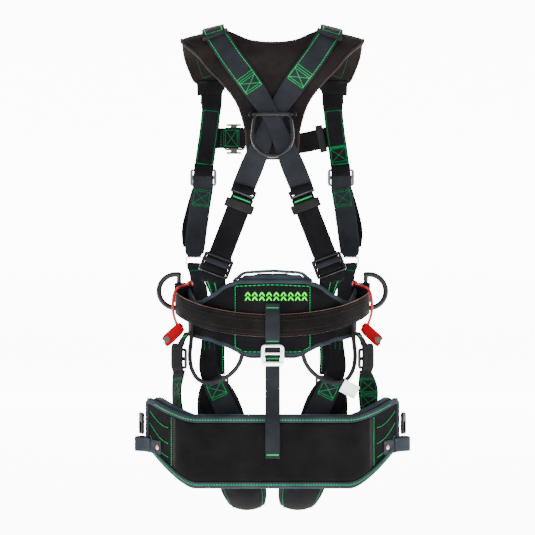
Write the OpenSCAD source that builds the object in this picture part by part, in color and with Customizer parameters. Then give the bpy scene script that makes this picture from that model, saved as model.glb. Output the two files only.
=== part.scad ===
// Full-body tree climbing saddle: shoulder yoke with a dorsal ring, crossed back straps, chest strap,
// padded waist belt with two side rings and gear loops, leg loops, and a padded seat hung below.
// Millimetres. X to the right seen from behind, Y towards the wearer's front, Z up.
// The origin is the centre of the dorsal ring's eye.

/* [Webbing] */
// Width of the main webbing
web_w = 45; // [43:0.5:46]
// Thickness of the main webbing
web_t = 2.2; // [1.6:0.1:2.4]
// Free gap between pieces that lie on each other
gap = 0.5; // [0.4:0.1:0.6]

/* [Rings] */
// Inner radius of the dorsal ring's eye
eye_r = 36; // [34:0.5:37]
// Width of the dorsal ring along the eye's axis
eye_len = 9; // [8:0.5:9.5]
// Tube diameter of a side ring
side_ring_d = 10.5; // [9:0.5:11]
// Height of a side ring over its outside
side_ring_h = 78; // [70:1:78]

/* [Waist] */
// Half width of the waist pad
waist_a = 166; // [164:1:168]
// Half depth of the waist pad
waist_b = 135; // [133:1:137]
// Height of the leather belt
belt_h = 43; // [38:1:45]

/* [Seat] */
// Half width of the seat along its chord
seat_half = 247; // [240:1:250]
// Thickness of the seat's inner cushion
seat_pad_t = 18; // [14:1:20]
// Half width of the seat's centre panel
seat_panel_half = 190; // [180:1:192]

/* [Hidden] */
$fn = 48;

// Colours
slate = "#2d3038";
black = "#17161a";
pad_black = "#2a2625";
binding = "#3a464f";
leather = "#221f1f";
silver = "#c4c6c8";
steel_grey = "#70767c";
olive = "#5c6148";
red = "#d8121f";
copper = "#b0714a";
grey = "#3c3a3b";
white = "#eeeeea";

// Surfaces that the pieces lie on

// The shoulders, as a half ellipse over straight sides: reach to the front and back, rise, centre
shoulder_y = 109;
shoulder_z = 137;
shoulder_reach = 85;
shoulder_rise = 89;
// How far the shoulder drops for each millimetre past this distance from the neck
slope_from = 90;
shoulder_slope = 0.25;
pad_t = 10;
on_pad = pad_t / 2 + gap + web_t / 2 + 1.2;

// Point at x, at t along the shoulder: below 0 down the back, 0 to 180 degrees over it, then down the
// front, at the distance d outside the pad's middle
function torso(x, t, d) =
    let (ry = shoulder_reach + d,
         rz = shoulder_rise + d - shoulder_slope * max(abs(x) - slope_from, 0))
    t < 0 ? [x, shoulder_y - ry, shoulder_z + t]
    : t > 180 ? [x, shoulder_y + ry, shoulder_z + 180 - t]
    : [x, shoulder_y - ry * cos(t), shoulder_z + rz * sin(t)];
function torso_out(t, x = 0) =
    let (a = min(max(t, 0), 180), lean = abs(x) > slope_from ? sign(x) * shoulder_slope * sin(a) : 0)
    unit([lean, -cos(a), sin(a)]);

// Point on the waist at phi degrees round from the back's middle, at height z and d outside
waist_y = 100;
function waist(phi, z, d) =
    [(waist_a + d) * sin(phi), waist_y - (waist_b + d) * cos(phi), z];
function waist_out(phi) = [sin(phi), -cos(phi), 0];

// The seat, flat in its middle with wings that curve forward and rise
seat_y = -75;
seat_flat = 150;
wing_x = 97;
wing_forward = 90;
wing_rise_top = 32;
wing_rise_bottom = 70;
function wing(x) = max(abs(x) - seat_flat, 0) / wing_x;
function seat_line(x) = seat_y + wing_forward * pow(wing(x), 1.7);
function seat_out(x) =
    let (s = (seat_line(x + 1) - seat_line(x - 1)) / 2) [s, -1, 0] / norm([s, 1]);
function seat(x, z, d) = [x, seat_line(x), z] + seat_out(x) * d;
function seat_top(x) = -538 + wing_rise_top * pow(wing(x), 1.3);
function seat_bottom(x) = -675 + wing_rise_bottom * pow(wing(x), 1.3);

// Curves and swept solids

function unit(v) = v / norm(v);
function mix(a, b, t) = a + (b - a) * t;
function curve(a, b, c, d, t) =
    0.5 * (2 * b + (c - a) * t + (2 * a - 5 * b + 4 * c - d) * t * t
           + (3 * b - a - 3 * c + d) * t * t * t);
// A smooth curve through every point of p, with n steps between neighbours
function smooth(p, n) =
    let (last = len(p) - 1)
    [for (i = [0:last - 1], k = [0:n - 1])
        curve(p[max(i - 1, 0)], p[i], p[i + 1], p[min(i + 2, last)], k / n), p[last]];
// The value of a table of [place, value] pairs at x, in straight lines
function table(x, rows) =
    let (i = max([for (k = [0:len(rows) - 2]) if (k == 0 || x >= rows[k][0]) k]))
    mix(rows[i][1], rows[i + 1][1],
        (min(max(x, rows[0][0]), rows[len(rows) - 1][0]) - rows[i][0]) / (rows[i + 1][0] - rows[i][0]));
function flip(p) = [for (q = p) [-q[0], q[1], q[2]]];

// A closed solid through rings of points, each with the same number of sides
module skin(rings) {
    sides = len(rings[0]);
    last = len(rings) - 1;
    polyhedron(
        [for (r = rings) each r],
        concat(
            [[for (k = [0:sides - 1]) k]],
            [[for (k = [sides - 1:-1:0]) last * sides + k]],
            [for (i = [0:last - 1], k = [0:sides - 1])
                let (a = i * sides + k, b = i * sides + (k + 1) % sides)
                each [[a, a + sides, b + sides], [a, b + sides, b]]]));
}

// Flat webbing along a route, w wide and t thick, facing the directions in out
module ribbon(route, out, w, t = web_t, n = 4) {
    p = smooth(route, n);
    o = smooth(out, n);
    ws = is_list(w) ? smooth(w, n) : [for (q = p) w];
    last = len(p) - 1;
    skin([for (i = [0:last])
        let (along = unit(p[min(i + 1, last)] - p[max(i - 1, 0)]),
             face = unit(o[i] - (o[i] * along) * along),
             side = cross(along, face))
        [for (c = [[1, 1], [1, -1], [-1, -1], [-1, 1]])
            p[i] + side * c[0] * ws[i] / 2 + face * c[1] * t / 2]]);
}

// A round tube along a route
module tube(route, r, n = 4, sides = 8) {
    p = smooth(route, n);
    last = len(p) - 1;
    skin([for (i = [0:last])
        let (along = unit(p[min(i + 1, last)] - p[max(i - 1, 0)]),
             a = unit(cross(along, [0, 1, 0])), b = cross(along, a))
        [for (k = [0:sides - 1]) p[i] + (a * cos(360 * k / sides) + b * sin(360 * k / sides)) * r]]);
}

// A padded sheet between two grids of points, front and back
module slab(front, back) {
    m = len(front);
    n = len(front[0]);
    all = m * n;
    quads = [for (i = [0:m - 2], j = [0:n - 2])
        [i * n + j, i * n + j + 1, (i + 1) * n + j + 1, (i + 1) * n + j]];
    rim = concat([for (i = [0:m - 1]) i * n], [for (j = [1:n - 1]) (m - 1) * n + j],
        [for (i = [m - 2:-1:0]) i * n + n - 1], [for (j = [n - 2:-1:1]) j]);
    polyhedron(
        concat([for (r = front) each r], [for (r = back) each r]),
        concat(
            [for (q = quads) each [[q[0], q[1], q[2]], [q[0], q[2], q[3]]]],
            [for (q = quads)
                each [[all + q[0], all + q[2], all + q[1]], [all + q[0], all + q[3], all + q[2]]]],
            [for (k = [0:len(rim) - 1])
                let (a = rim[k], b = rim[(k + 1) % len(rim)])
                each [[a, b, all + b], [a, all + b, all + a]]]));
}

// A shape drawn at its own origin, X across, Y inward and Z up along the webbing
module at(p, up = [0, 0, 1], inward = [0, 1, 0]) {
    z = unit(up);
    y = unit(inward - (inward * z) * z);
    x = cross(y, z);
    multmatrix([[x[0], y[0], z[0], p[0]], [x[1], y[1], z[1], p[1]], [x[2], y[2], z[2], p[2]], [0, 0, 0, 1]])
        children();
}

module both() {
    children();
    mirror([1, 0, 0]) children();
}

module rounded(w, h, r) {
    offset(r) square([w - 2 * r, h - 2 * r], center = true);
}

// A flat frame lying in the X-Z plane, t thick, with windows given as [centre z, height]
module frame_plate(w, h, r, t, window_w, windows) {
    rotate([90, 0, 0]) linear_extrude(t, center = true) difference() {
        rounded(w, h, r);
        for (v = windows) translate([0, v[0]]) rounded(window_w, v[1], 1.5);
    }
}

// A band around flat webbing, w wide and h tall, open along Z
module band(w, h, hole_w, hole_t, wall = 1.8) {
    difference() {
        cube([w, hole_t + 2 * wall, h], center = true);
        cube([hole_w, hole_t, h + 2], center = true);
    }
}

// Yoke and dorsal ring

// Edges of the yoke's left half, from the front end over the shoulder to the middle, as [x, t]
yoke_inner = [
    [-100, 187], [-99, 176], [-96, 135], [-93, 90], [-91, 62], [-74, 50], [-50, 39], [-26, 35], [-10, 34],
    [-4, 34], [0, 34]
];
yoke_outer = [
    [-157, 187], [-167, 176], [-181, 140], [-182, 95], [-178, 52], [-136, 8], [-94, -35], [-68, -72],
    [-53, -120], [-44, -172], [0, -179]
];
function yoke_edge(edge, n) =
    let (half = smooth(edge, n))
    concat(half, [for (i = [len(half) - 2:-1:0]) [-half[i][0], half[i][1]]]);

module back_pad() {
    rows = 5;
    inner = yoke_edge(yoke_inner, 3);
    outer = yoke_edge(yoke_outer, 3);
    function grid(d) = [for (i = [0:len(inner) - 1]) [for (j = [0:rows])
        let (q = mix(outer[i], inner[i], j / rows)) torso(q[0], q[1], d)]];
    color(pad_black) slab(grid(pad_t / 2), grid(-pad_t / 2));
}

hinge_y = 4;
hinge_z = eye_r + 6.5;
hinge_r = 3.5;
lug_x = 41;
plate_y = shoulder_y - shoulder_reach - pad_t / 2 - gap;
plate_t = 3;

module dorsal_plate() {
    color(black) difference() {
        union() {
            translate([0, plate_y, 34]) rotate([90, 0, 0]) linear_extrude(plate_t) rounded(100, 46, 8);
            both() translate([lug_x, -2, hinge_z - 6]) cube([5, plate_y - plate_t / 2 + 2, 12]);
        }
        translate([0, hinge_y, hinge_z]) rotate([0, 90, 0]) cylinder(r = hinge_r + 0.4, h = 120, center = true);
    }
}

module dorsal_ring() {
    wall = 6.5;
    color(black) difference() {
        union() {
            rotate([90, 0, 0]) cylinder(r = eye_r + wall, h = eye_len, center = true);
            translate([-lug_x + 1, -eye_len / 2, eye_r - 18]) cube([2 * lug_x - 2, eye_len, 18 + wall]);
            translate([0, hinge_y, hinge_z]) rotate([0, 90, 0])
                cylinder(r = hinge_r, h = 2 * lug_x + 12, center = true);
        }
        rotate([90, 0, 0]) cylinder(r = eye_r, h = 3 * eye_len, center = true, $fn = 96);
    }
}

// Crossed webbing: the left one comes over the left shoulder and goes to the right hip
function cross_route(over) = [
    torso(-128, 231, on_pad), torso(-127, 200, on_pad + 0.6), torso(-126, 160, on_pad + 2),
    torso(-124, 120, on_pad + 0.6),
    torso(-121, 85, on_pad), torso(-116, 55, on_pad), torso(-100, 30, on_pad + 1.4),
    torso(-80, 10, on_pad + 0.8),
    torso(-44, -32, on_pad + 1), torso(-17, -73, over), torso(2, -105, over), torso(20, -147, over),
    torso(38, -190, over), [56, 11, -97]
];
cross_out = [
    torso_out(231), torso_out(200), torso_out(160, -126), torso_out(120, -124), torso_out(85, -121),
    torso_out(55, -116), torso_out(30, -100), torso_out(10), torso_out(-32), torso_out(-73), torso_out(-105),
    torso_out(-147), torso_out(-190), [0, -1, 0]
];
cross_w = [web_w, web_w, web_w, web_w, web_w, web_w, web_w, web_w, web_w, 38, 34, 38, web_w, web_w];
over_plate = pad_t / 2 + gap + plate_t + gap + web_t / 2;
over_strap = over_plate + web_t + gap;

module left_cross_strap() {
    color(slate) ribbon(cross_route(over_strap), cross_out, cross_w);
}

module right_cross_strap() {
    color(slate) mirror([1, 0, 0]) ribbon(cross_route(over_plate), cross_out, cross_w);
}

module shoulder_keepers() {
    lift = on_pad + web_t / 2 + gap + 2.2;
    color(slate) both() ribbon(
        [torso(119, 66, lift), torso(117, 54, lift), torso(113, 44, lift)],
        [torso_out(66, 119), torso_out(54, 117), torso_out(44, 113)], 47, 2.4);
}

// Front straps

module front_sleeves() {
    color(black) both() ribbon(
        [[127, 202, 82], [133, 210, 30], [139, 213, -10], [144, 212, -46]],
        [for (k = [1:4]) [0, 1, 0]], 40, 7);
}

module front_adjusters() {
    color(steel_grey) both() translate([145, 211, -67])
        frame_plate(56, 36, 6, 5, 44, [[-8.5, 11], [8.5, 11]]);
}

module front_straps() {
    color(slate) both() {
        ribbon([[146, 210, -88.4], [152, 207, -130], [158, 192, -180], [161, 169, -220], [161, 161.5, -231]],
            [[0, 1, 0], [0, 1, 0], [0, 1, 0.4], [0, 1, 0.5], [0, 1, 0.3]], [42, 42, 42, 38, 27]);
        ribbon([[150, 215, -96], [163, 218, -140], [171, 207, -180], [170, 184, -215]],
            [[0, 1, 0], [0.1, 1, 0], [0.2, 1, 0.4], [0.2, 1, 0.6]], [40, 40, 40, 34]);
    }
}

module link_rings() {
    color(silver) both() at([161, 157, -242], [0, 0.3, 1], [0, 1, 0])
        frame_plate(37, 17, 4, 4, 30, [[0, 10]]);
}

module hip_tabs() {
    color(slate) both() ribbon(
        [[160, 152, -252], [158, 138, -275], [157, 118, -300], [158, 104, -324]],
        [[0.1, 1, 0.4], [0.4, 1, 0.5], [0.8, 0.6, 0.4], [1, 0.15, 0]], [30, 27, 36, 34], 3);
}

// Chest strap and its quick-connect buckle
chest_w = 43;
chest_buckle_x = -80;
chest_buckle_y = 227;
chest_z = 16;

module left_chest_strap() {
    color(black) ribbon([[-136, 218, 17], [-116, 219.5, 17], [-90, 220, 17], [-56, 220, 17]],
        [for (k = [1:4]) [0, 1, 0]], chest_w);
}

module right_chest_strap() {
    color(black) ribbon([[136, 218, 24], [116, 220, 19], [60, 224, 7], [0, 226, 5], [-52, 226.5, 13]],
        [for (k = [1:5]) [0, 1, 0]], chest_w);
}

module chest_buckle() {
    color(olive) translate([chest_buckle_x, chest_buckle_y, chest_z]) difference() {
        rotate([90, 0, 0]) linear_extrude(9, center = true) difference() {
            rounded(44, 48, 6);
            translate([12, 0]) rounded(9, 41, 2);
            translate([-15, 0]) rounded(5, 41, 2);
        }
        translate([-1, 0, 0]) cube([17, 4.6, 60], center = true);
    }
}

module chest_tab(side) {
    color(olive) translate([chest_buckle_x - 1, chest_buckle_y, chest_z + side * 23])
        rotate([90, 0, 0]) linear_extrude(3.6, center = true) union() {
            translate([0, -1.25 * side]) square([14, 15.5], center = true);
            translate([0, 6.6 * side]) rounded(32, 4.4, 2);
        }
}

module chest_tab_upper() { chest_tab(1); }

module chest_tab_lower() { chest_tab(-1); }

chest_keeper_at = [104, 221.1, 16];
module chest_keeper() {
    color(grey) at(chest_keeper_at, [112, -8, 24], [0, 1, 0]) band(58, 15, 46, 4.4);
}

// Back straps down to the waist
back_top = [58, 9, -118];
back_end = [102, -15, -234];
back_dir = unit(back_end - back_top);

module back_clips() {
    color(black) both() at([56.5, 9.5, -108], -back_dir, [0, 1, 0])
        frame_plate(50, 16, 2, 7, 40, [[0, 5]]);
}

module back_straps() {
    color(black) both() ribbon([back_top, mix(back_top, back_end, 0.5), back_end],
        [[0, -1, 0], [0, -1, 0], [0, -1, 0]], web_w, n = 2);
}

module right_back_keeper() {
    color(grey) at(back_top + back_dir * 20, -back_dir, [0, 1, 0]) band(58, 17, 46.5, 4.4);
}

module left_back_keeper() { mirror([1, 0, 0]) right_back_keeper(); }

buckle_at = back_end + back_dir * 20;
roller_drop = 7;
roller_r = 4.5;
roller_pin_r = 3;

module roller_buckles() {
    color(black) both() at(buckle_at, -back_dir, [0, 1, 0]) difference() {
        frame_plate(60, 38, 4, 8, 48, [[-roller_drop, 18.5], [10.5, 7]]);
        translate([0, 0, -roller_drop]) rotate([0, 90, 0])
            cylinder(r = roller_pin_r + 0.3, h = 57.5, center = true);
    }
}

module right_roller() {
    color(silver) at(buckle_at, -back_dir, [0, 1, 0]) translate([0, 0, -roller_drop]) rotate([0, 90, 0]) {
        cylinder(r = roller_r, h = 46.8, center = true);
        cylinder(r = roller_pin_r, h = 56.5, center = true);
    }
}

module left_roller() { mirror([1, 0, 0]) right_roller(); }

// Webbing that comes out of the waist pad, over the roller and back down
roller_at = buckle_at + back_dir * roller_drop;
wrap_r = roller_r + gap + web_t / 2;
back_in = unit([0, 1, 0] - back_dir[1] * back_dir);
function wrap(a) = roller_at - back_dir * wrap_r * sin(a) + back_in * wrap_r * cos(a);
function wrap_out(a) = -back_dir * sin(a) + back_in * cos(a);

module waist_straps() {
    color(black) both() ribbon(
        [waist(43, -322, -9), waist(43, -306, -8.5), [111, 4, -288], wrap(0) + back_dir * 12 + back_in * 1.5,
         wrap(0) + back_dir * 4 + back_in * 0.6, wrap(0), wrap(45), wrap(90), wrap(135), wrap(180),
         wrap(180) + back_dir * 4, wrap(180) + back_dir * 8],
        [[-0.68, 0.73, 0], [-0.68, 0.73, 0], [-0.4, 0.9, 0], wrap_out(0), wrap_out(0), wrap_out(0),
         wrap_out(45), wrap_out(90), wrap_out(135), wrap_out(180), wrap_out(180), wrap_out(180)], 44);
}

// Waist pad and belt
waist_end = 100;
waist_top_rows = [
    [0, -281], [21, -281], [30, -287], [45, -310], [56, -323], [66, -324], [78, -309], [90, -293], [100, -295]
];
waist_bottom_rows = [[0, -425], [18, -425], [33, -409], [48, -399], [68, -395], [90, -392], [100, -388]];

waist_step = 4;
module waist_slab(end, d0, d1, top, bottom, rows = 3) {
    edge = [for (phi = [waist_step:waist_step:end - 1]) phi];
    stations = concat([-end], [for (i = [len(edge) - 1:-1:0]) -edge[i]], [0], edge, [end]);
    function grid(d) = [for (phi = stations)
        [for (j = [0:rows]) waist(phi, mix(table(abs(phi), bottom), table(abs(phi), top), j / rows), d)]];
    slab(grid(d1), grid(d0));
}

module lumbar_cushion() {
    color(binding) waist_slab(28, -14, -2,
        [[0, -263], [20, -266], [28, -281]], [[0, -428], [16, -429], [22, -424], [28, -412]]);
}

module waist_shell() {
    color(black) waist_slab(waist_end, -1.5, 4.5, waist_top_rows, waist_bottom_rows);
}

module lumbar_panel() {
    color(black) waist_slab(25, 5, 6.5, [[0, -287], [25, -290]], [[0, -421], [18, -421], [25, -412]]);
}

belt_end = 80;
belt_t = 4;
function belt_z(phi) = -368 + 49 * (1 - cos(phi));
function belt_d(phi) = 10 + 20 * pow(abs(phi) / belt_end, 2);
module belt() {
    columns = 40;
    rows = 2;
    function grid(d) = [for (i = [0:columns]) let (phi = mix(-belt_end, belt_end, i / columns))
        [for (j = [0:rows]) waist(phi, belt_z(phi) + belt_h * (j / rows - 0.5), belt_d(phi) + d)]];
    color(leather) slab(grid(belt_t / 2), grid(-belt_t / 2));
}

loop_w = 28;
function loop_y(d) = waist_y - waist_b - d;
module belt_loop() {
    color(slate) ribbon(
        [[0, loop_y(8.2), -325], [0, loop_y(8.4), -334], [0, loop_y(14), -344], [0, loop_y(15.5), -356],
         [0, loop_y(15.5), -380], [0, loop_y(14), -392], [0, loop_y(9.5), -400], [0, loop_y(8.3), -404.5]],
        [for (k = [1:8]) [0, -1, 0]], loop_w, 2);
}

module front_belt() {
    color(black) both() ribbon(
        [for (phi = [106:11:172]) waist(phi, -350, 0)], [for (phi = [106:11:172]) waist_out(phi)], 43, 3);
}

module front_buckle() {
    color(steel_grey) translate([0, waist_y + waist_b + 1, -350])
        frame_plate(36, 58, 5, 6, 24, [[-12, 18], [12, 18]]);
}

// Side rings
side_ring_at = [188, 85, -304];
side_ring_r = (side_ring_h - side_ring_d) / 2;
side_ring_arm = 6.5;
side_bar_r = 4.5;

module right_side_ring() {
    r = side_ring_d / 2;
    color(black) translate(side_ring_at) {
        cylinder(r = side_bar_r, h = 2 * side_ring_r, center = true);
        for (s = [-1, 1]) translate([0, 0, s * side_ring_r]) {
            sphere(r = r);
            rotate([0, 90, 0]) cylinder(r = r, h = side_ring_arm);
        }
        translate([side_ring_arm, 0, 0]) rotate([90, 0, 0]) rotate([0, 0, -90])
            rotate_extrude(angle = 180) translate([side_ring_r, 0]) circle(r = r);
    }
}

module left_side_ring() { mirror([1, 0, 0]) right_side_ring(); }

module ring_holders() {
    color(black) both() difference() {
        translate([waist_a + 5.4, side_ring_at[1] - 8, side_ring_at[2] - 23]) cube([25.6, 16, 40]);
        translate(side_ring_at) cylinder(r = side_bar_r + 0.4, h = 60, center = true);
    }
}

module red_loops() {
    color(red) both() {
        ribbon(
            [[166, 56, -290], [180, 54, -293], [192, 51, -301], [197, 49, -320], [197, 49, -345],
             [192, 52, -364]],
            [[0.3, -0.3, 1], [0.5, -0.3, 0.9], [0.8, -0.4, 0.5], [1, -0.5, 0], [1, -0.5, 0],
             [1, -0.5, -0.2]], 12, 1.8);
        ribbon([[158, 40, -290], [162, 37, -284], [167, 36, -288]],
            [[-0.5, -0.4, 0.8], [0, -0.4, 0.8], [0.6, -0.4, 0.7]], 12, 1.8);
    }
}

tab_route = [[182, 57, -373], [199, 57, -389], [218, 58, -407]];
module red_tabs() {
    color(red) both() ribbon(tab_route, [[0, -1, 0], [0, -1, 0], [0, -1, 0]], [22, 24, 25], 7);
}

module tab_snaps() {
    color(olive) both() translate([210, 53.6, -400]) rotate([90, 0, 0]) {
        cylinder(r = 6.2, h = 1.6);
        cylinder(r = 3, h = 2.6);
    }
}

// Gear loops and care label
gear_r = 4.2;
gear_route = [
    [60, -31, -430], [66, -32, -444], [78, -31, -459], [98, -26, -473], [122, -18, -480], [144, -7, -474],
    [158, 12, -455], [163, 30, -430], [161, 42, -401]
];

module right_gear_loop() {
    color(grey) tube(gear_route, gear_r);
}

module left_gear_loop() { mirror([1, 0, 0]) right_gear_loop(); }

module care_label() {
    color(white) translate([149, -17, -492]) rotate([0, 28, 0]) cube([32, 0.8, 26], center = true);
}

// Centre buckle and strap down to the seat

centre_y = -50.5;
module centre_buckle() {
    color(silver) translate([0, centre_y, -424.5])
        frame_plate(44, 41, 7, 4.5, 29.5, [[10.5, 10], [-5.5, 13]]);
}

module centre_strap() {
    color(slate) ribbon(
        [[0, -45.6, -409], [0, -45.8, -440], [0, -52, -480], [0, -66, -520], [0, -79.6, -545],
         [0, -82.4, -566], [0, -82.4, -617]],
        [for (k = [1:7]) [0, -1, 0]], loop_w, 2);
}

// Leg loops

module right_leg_riser() {
    color(slate) ribbon(
        [waist(52, -384, -7), waist(52, -404, -6.5), [127, 7, -450], [114, -5.8, -482], [99, -8.2, -514],
         [78, -10.2, -560]],
        [[-0.79, 0.61, 0], [-0.7, 0.7, 0], [-0.3, 0.95, 0], [-0.1, 1, 0], [0, 1, 0], [0, 1, 0]],
        [36, 36, 36, 42, 44, 44]);
}

module left_leg_riser() { mirror([1, 0, 0]) right_leg_riser(); }

leg_route = [
    [116, 6, -480], [107, 3, -520], [92, 0, -580], [71, 6, -640], [55, 30, -706], [51, 88, -741],
    [56, 144, -708], [79, 180, -640], [104, 200, -575], [114, 206, -534]
];
leg_out = [
    [0, -1, 0], [0, -1, 0], [0, -1, -0.05], [0, -1, -0.3], [0, -0.7, -0.7], [0, 0, -1], [0, 0.7, -0.7],
    [0, 1, -0.3], [0, 1, 0], [0, 1, 0]
];
leg_w = [52, 82, 95, 95, 92, 86, 88, 85, 62, 50];

module right_leg_pad() {
    color(black) ribbon(leg_route, leg_out, leg_w, 11, n = 3);
}

module left_leg_pad() { mirror([1, 0, 0]) right_leg_pad(); }

module right_leg_buckle() {
    color(steel_grey) translate([119, 207, -503]) frame_plate(56, 40, 5, 6, 45, [[-9, 12], [9, 12]]);
}

module left_leg_buckle() { mirror([1, 0, 0]) right_leg_buckle(); }

module right_leg_front_strap() {
    color(black) ribbon([[120, 206, -482], [121, 203, -440], [119, 192, -400], [118, 182, -366]],
        [[0, 1, 0], [0, 1, 0], [0.3, 0.95, 0], [0.62, 0.78, 0]], 42);
}

module left_leg_front_strap() { mirror([1, 0, 0]) right_leg_front_strap(); }

// Side straps that carry the seat

side_top = [183, 10, -460];
seat_join_x = 206;
seat_join_d = -(seat_pad_t + 14.6);
seat_join = seat(seat_join_x, -541, seat_join_d);

module side_straps() {
    foot = seat(seat_join_x, -561, seat_join_d);
    mid = mix(side_top, seat_join, 0.5) + [4, 0, 0];
    color(slate) {
        ribbon([side_top, mid, seat_join, foot],
            [[0.75, -0.65, 0], [0.25, -1, 0], seat_out(seat_join_x), seat_out(seat_join_x)], 41);
        ribbon(flip([side_top, mid, seat_join, foot]),
            [[-0.75, -0.65, 0], [-0.85, -0.5, 0], [-0.85, -0.55, 0], seat_out(-seat_join_x)], 41);
    }
}

module side_buckles() {
    color(black) both() {
        at([183, 12, -434], [0, 0, 1], [0.75, -0.65, 0]) frame_plate(48, 40, 5, 6, 38, [[-9, 11], [9, 11]]);
        ribbon([[166, 30, -384], [176, 22, -398], [182, 14, -411]],
            [[1, -0.6, 0.2], [1, -0.5, 0.3], [0.8, -0.6, 0.1]], 30);
    }
}

// Seat

seat_step = 12;
module seat_slab(half, d0, d1, lower, upper, rows = 3) {
    edge = [for (x = [seat_step:seat_step:half - 2]) x];
    stations = concat([-half], [for (i = [len(edge) - 1:-1:0]) -edge[i]], [0], edge, [half]);
    function grid(d) = [for (x = stations)
        [for (j = [0:rows]) seat(x, mix(seat_bottom(x) + lower, seat_top(x) - upper, j / rows), d)]];
    slab(grid(d1), grid(d0));
}

cover_t = 2.4;
board_t = 3;
cover_in = -cover_t;
board_in = cover_in - gap - board_t;
cushion_out = board_in - gap;

module seat_cushion() {
    color(binding) seat_slab(seat_half - 4, cushion_out - seat_pad_t, cushion_out, 0, 0);
}

module seat_board() {
    color(grey) seat_slab(seat_half - 30, board_in, board_in + board_t, 14, 14);
}

module seat_cover() {
    color(black) seat_slab(seat_half, cover_in, 0, 4, 4);
}

module seat_panel() {
    color(leather) seat_slab(seat_panel_half, gap, gap + 1.8, 14, 13);
}

module seat_loops() {
    color(slate) both() ribbon(
        [seat(236, -603, 3), seat(246, -603, 4), [268, 20, -603], [269, 34, -603], [256, 40, -603],
         [238, 22, -603]],
        [[0.87, -0.5, 0], [0.87, -0.5, 0], [0.95, -0.3, 0], [0.9, 0.5, 0], [-0.3, 0.95, 0],
         [-0.8, 0.6, 0]], 28);
}

module seat_rivets() {
    color(copper) both() at(seat(221, -604, 0.6), seat_out(221), [0, 0, 1]) {
        cylinder(r = 4.3, h = 1.8);
        cylinder(r = 2.2, h = 2.6);
    }
}

module seat_clips() {
    color(black) both() at(seat(252, -562, 6), [0, 0, 1], [-0.9, 0.45, 0])
        frame_plate(20, 42, 4, 5, 10, [[-7, 20]]);
}

back_pad();
dorsal_plate();
dorsal_ring();
left_cross_strap();
right_cross_strap();
shoulder_keepers();
front_sleeves();
front_adjusters();
front_straps();
link_rings();
hip_tabs();
left_chest_strap();
right_chest_strap();
chest_buckle();
chest_tab_upper();
chest_tab_lower();
chest_keeper();
back_clips();
back_straps();
left_back_keeper();
right_back_keeper();
roller_buckles();
left_roller();
right_roller();
waist_straps();
lumbar_cushion();
waist_shell();
lumbar_panel();
belt();
belt_loop();
front_belt();
front_buckle();
left_side_ring();
right_side_ring();
ring_holders();
red_loops();
red_tabs();
tab_snaps();
left_gear_loop();
right_gear_loop();
care_label();
centre_buckle();
centre_strap();
left_leg_riser();
right_leg_riser();
left_leg_pad();
right_leg_pad();
left_leg_buckle();
right_leg_buckle();
left_leg_front_strap();
right_leg_front_strap();
side_straps();
side_buckles();
seat_board();
seat_cushion();
seat_cover();
seat_panel();
seat_loops();
seat_rivets();
seat_clips();
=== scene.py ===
"""Looks of the climbing saddle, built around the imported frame. Shapes are worked out in millimetres, in
the frame's own axes, and turned to metres as each mesh is made."""
import math
import random

import bpy
from mathutils import Matrix, Vector


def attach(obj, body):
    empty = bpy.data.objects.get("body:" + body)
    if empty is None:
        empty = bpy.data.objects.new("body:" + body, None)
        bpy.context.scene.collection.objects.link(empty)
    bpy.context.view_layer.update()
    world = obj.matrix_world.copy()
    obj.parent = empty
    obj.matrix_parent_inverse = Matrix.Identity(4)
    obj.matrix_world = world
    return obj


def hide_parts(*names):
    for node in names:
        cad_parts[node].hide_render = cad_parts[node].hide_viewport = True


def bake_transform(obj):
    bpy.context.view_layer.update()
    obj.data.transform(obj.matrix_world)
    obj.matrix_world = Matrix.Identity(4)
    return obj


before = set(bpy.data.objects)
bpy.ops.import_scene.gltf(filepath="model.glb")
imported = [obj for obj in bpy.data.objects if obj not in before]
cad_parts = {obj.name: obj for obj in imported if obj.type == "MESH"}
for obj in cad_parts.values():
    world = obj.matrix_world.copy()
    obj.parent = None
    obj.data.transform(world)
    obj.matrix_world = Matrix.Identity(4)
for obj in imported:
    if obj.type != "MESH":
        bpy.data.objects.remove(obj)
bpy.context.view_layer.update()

MM = 0.001
random.seed(7)


# ---------------------------------------------------------------- camera, floor and lights

VIEW_DISTANCE = 2.6
SENSOR = 36.0
VIEW_WIDTH = 1.043
camera_data = bpy.data.cameras.new("camera")
camera_data.sensor_width = SENSOR
camera_data.lens = SENSOR * VIEW_DISTANCE / VIEW_WIDTH
camera = bpy.data.objects.new("camera", camera_data)
camera.location = (-0.00975, -VIEW_DISTANCE, -0.2564)
camera.rotation_euler = (math.pi / 2, 0, 0)
bpy.context.collection.objects.link(camera)
bpy.context.scene.camera = camera


def area_light(name, place, target, size, power, colour=(1, 1, 1)):
    data = bpy.data.lights.new(name, "AREA")
    data.size = size
    data.energy = power
    data.color = colour
    light = bpy.data.objects.new(name, data)
    light.location = place
    light.rotation_euler = (Vector(target) - Vector(place)).to_track_quat("-Z", "Y").to_euler()
    bpy.context.collection.objects.link(light)


MIDDLE = (0, 0.05, -0.25)
area_light("key", (-1.6, -2.4, 1.3), MIDDLE, 1.6, 60)
area_light("fill", (2.2, -1.9, 0.3), MIDDLE, 1.8, 24)
area_light("top", (0.2, 0.3, 2.2), MIDDLE, 1.4, 55)
area_light("rim_left", (-1.9, 1.5, 0.5), MIDDLE, 1.2, 14)
area_light("rim_right", (1.9, 1.5, 0.3), MIDDLE, 1.2, 14)
world = bpy.data.worlds.new("studio")
world.use_nodes = True
world.node_tree.nodes["Background"].inputs["Color"].default_value = (1, 1, 1, 1)
world.node_tree.nodes["Background"].inputs["Strength"].default_value = 1.5
bpy.context.scene.world = world


# ---------------------------------------------------------------- curves and surfaces

def mix(a, b, t):
    return a + (b - a) * t


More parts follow.
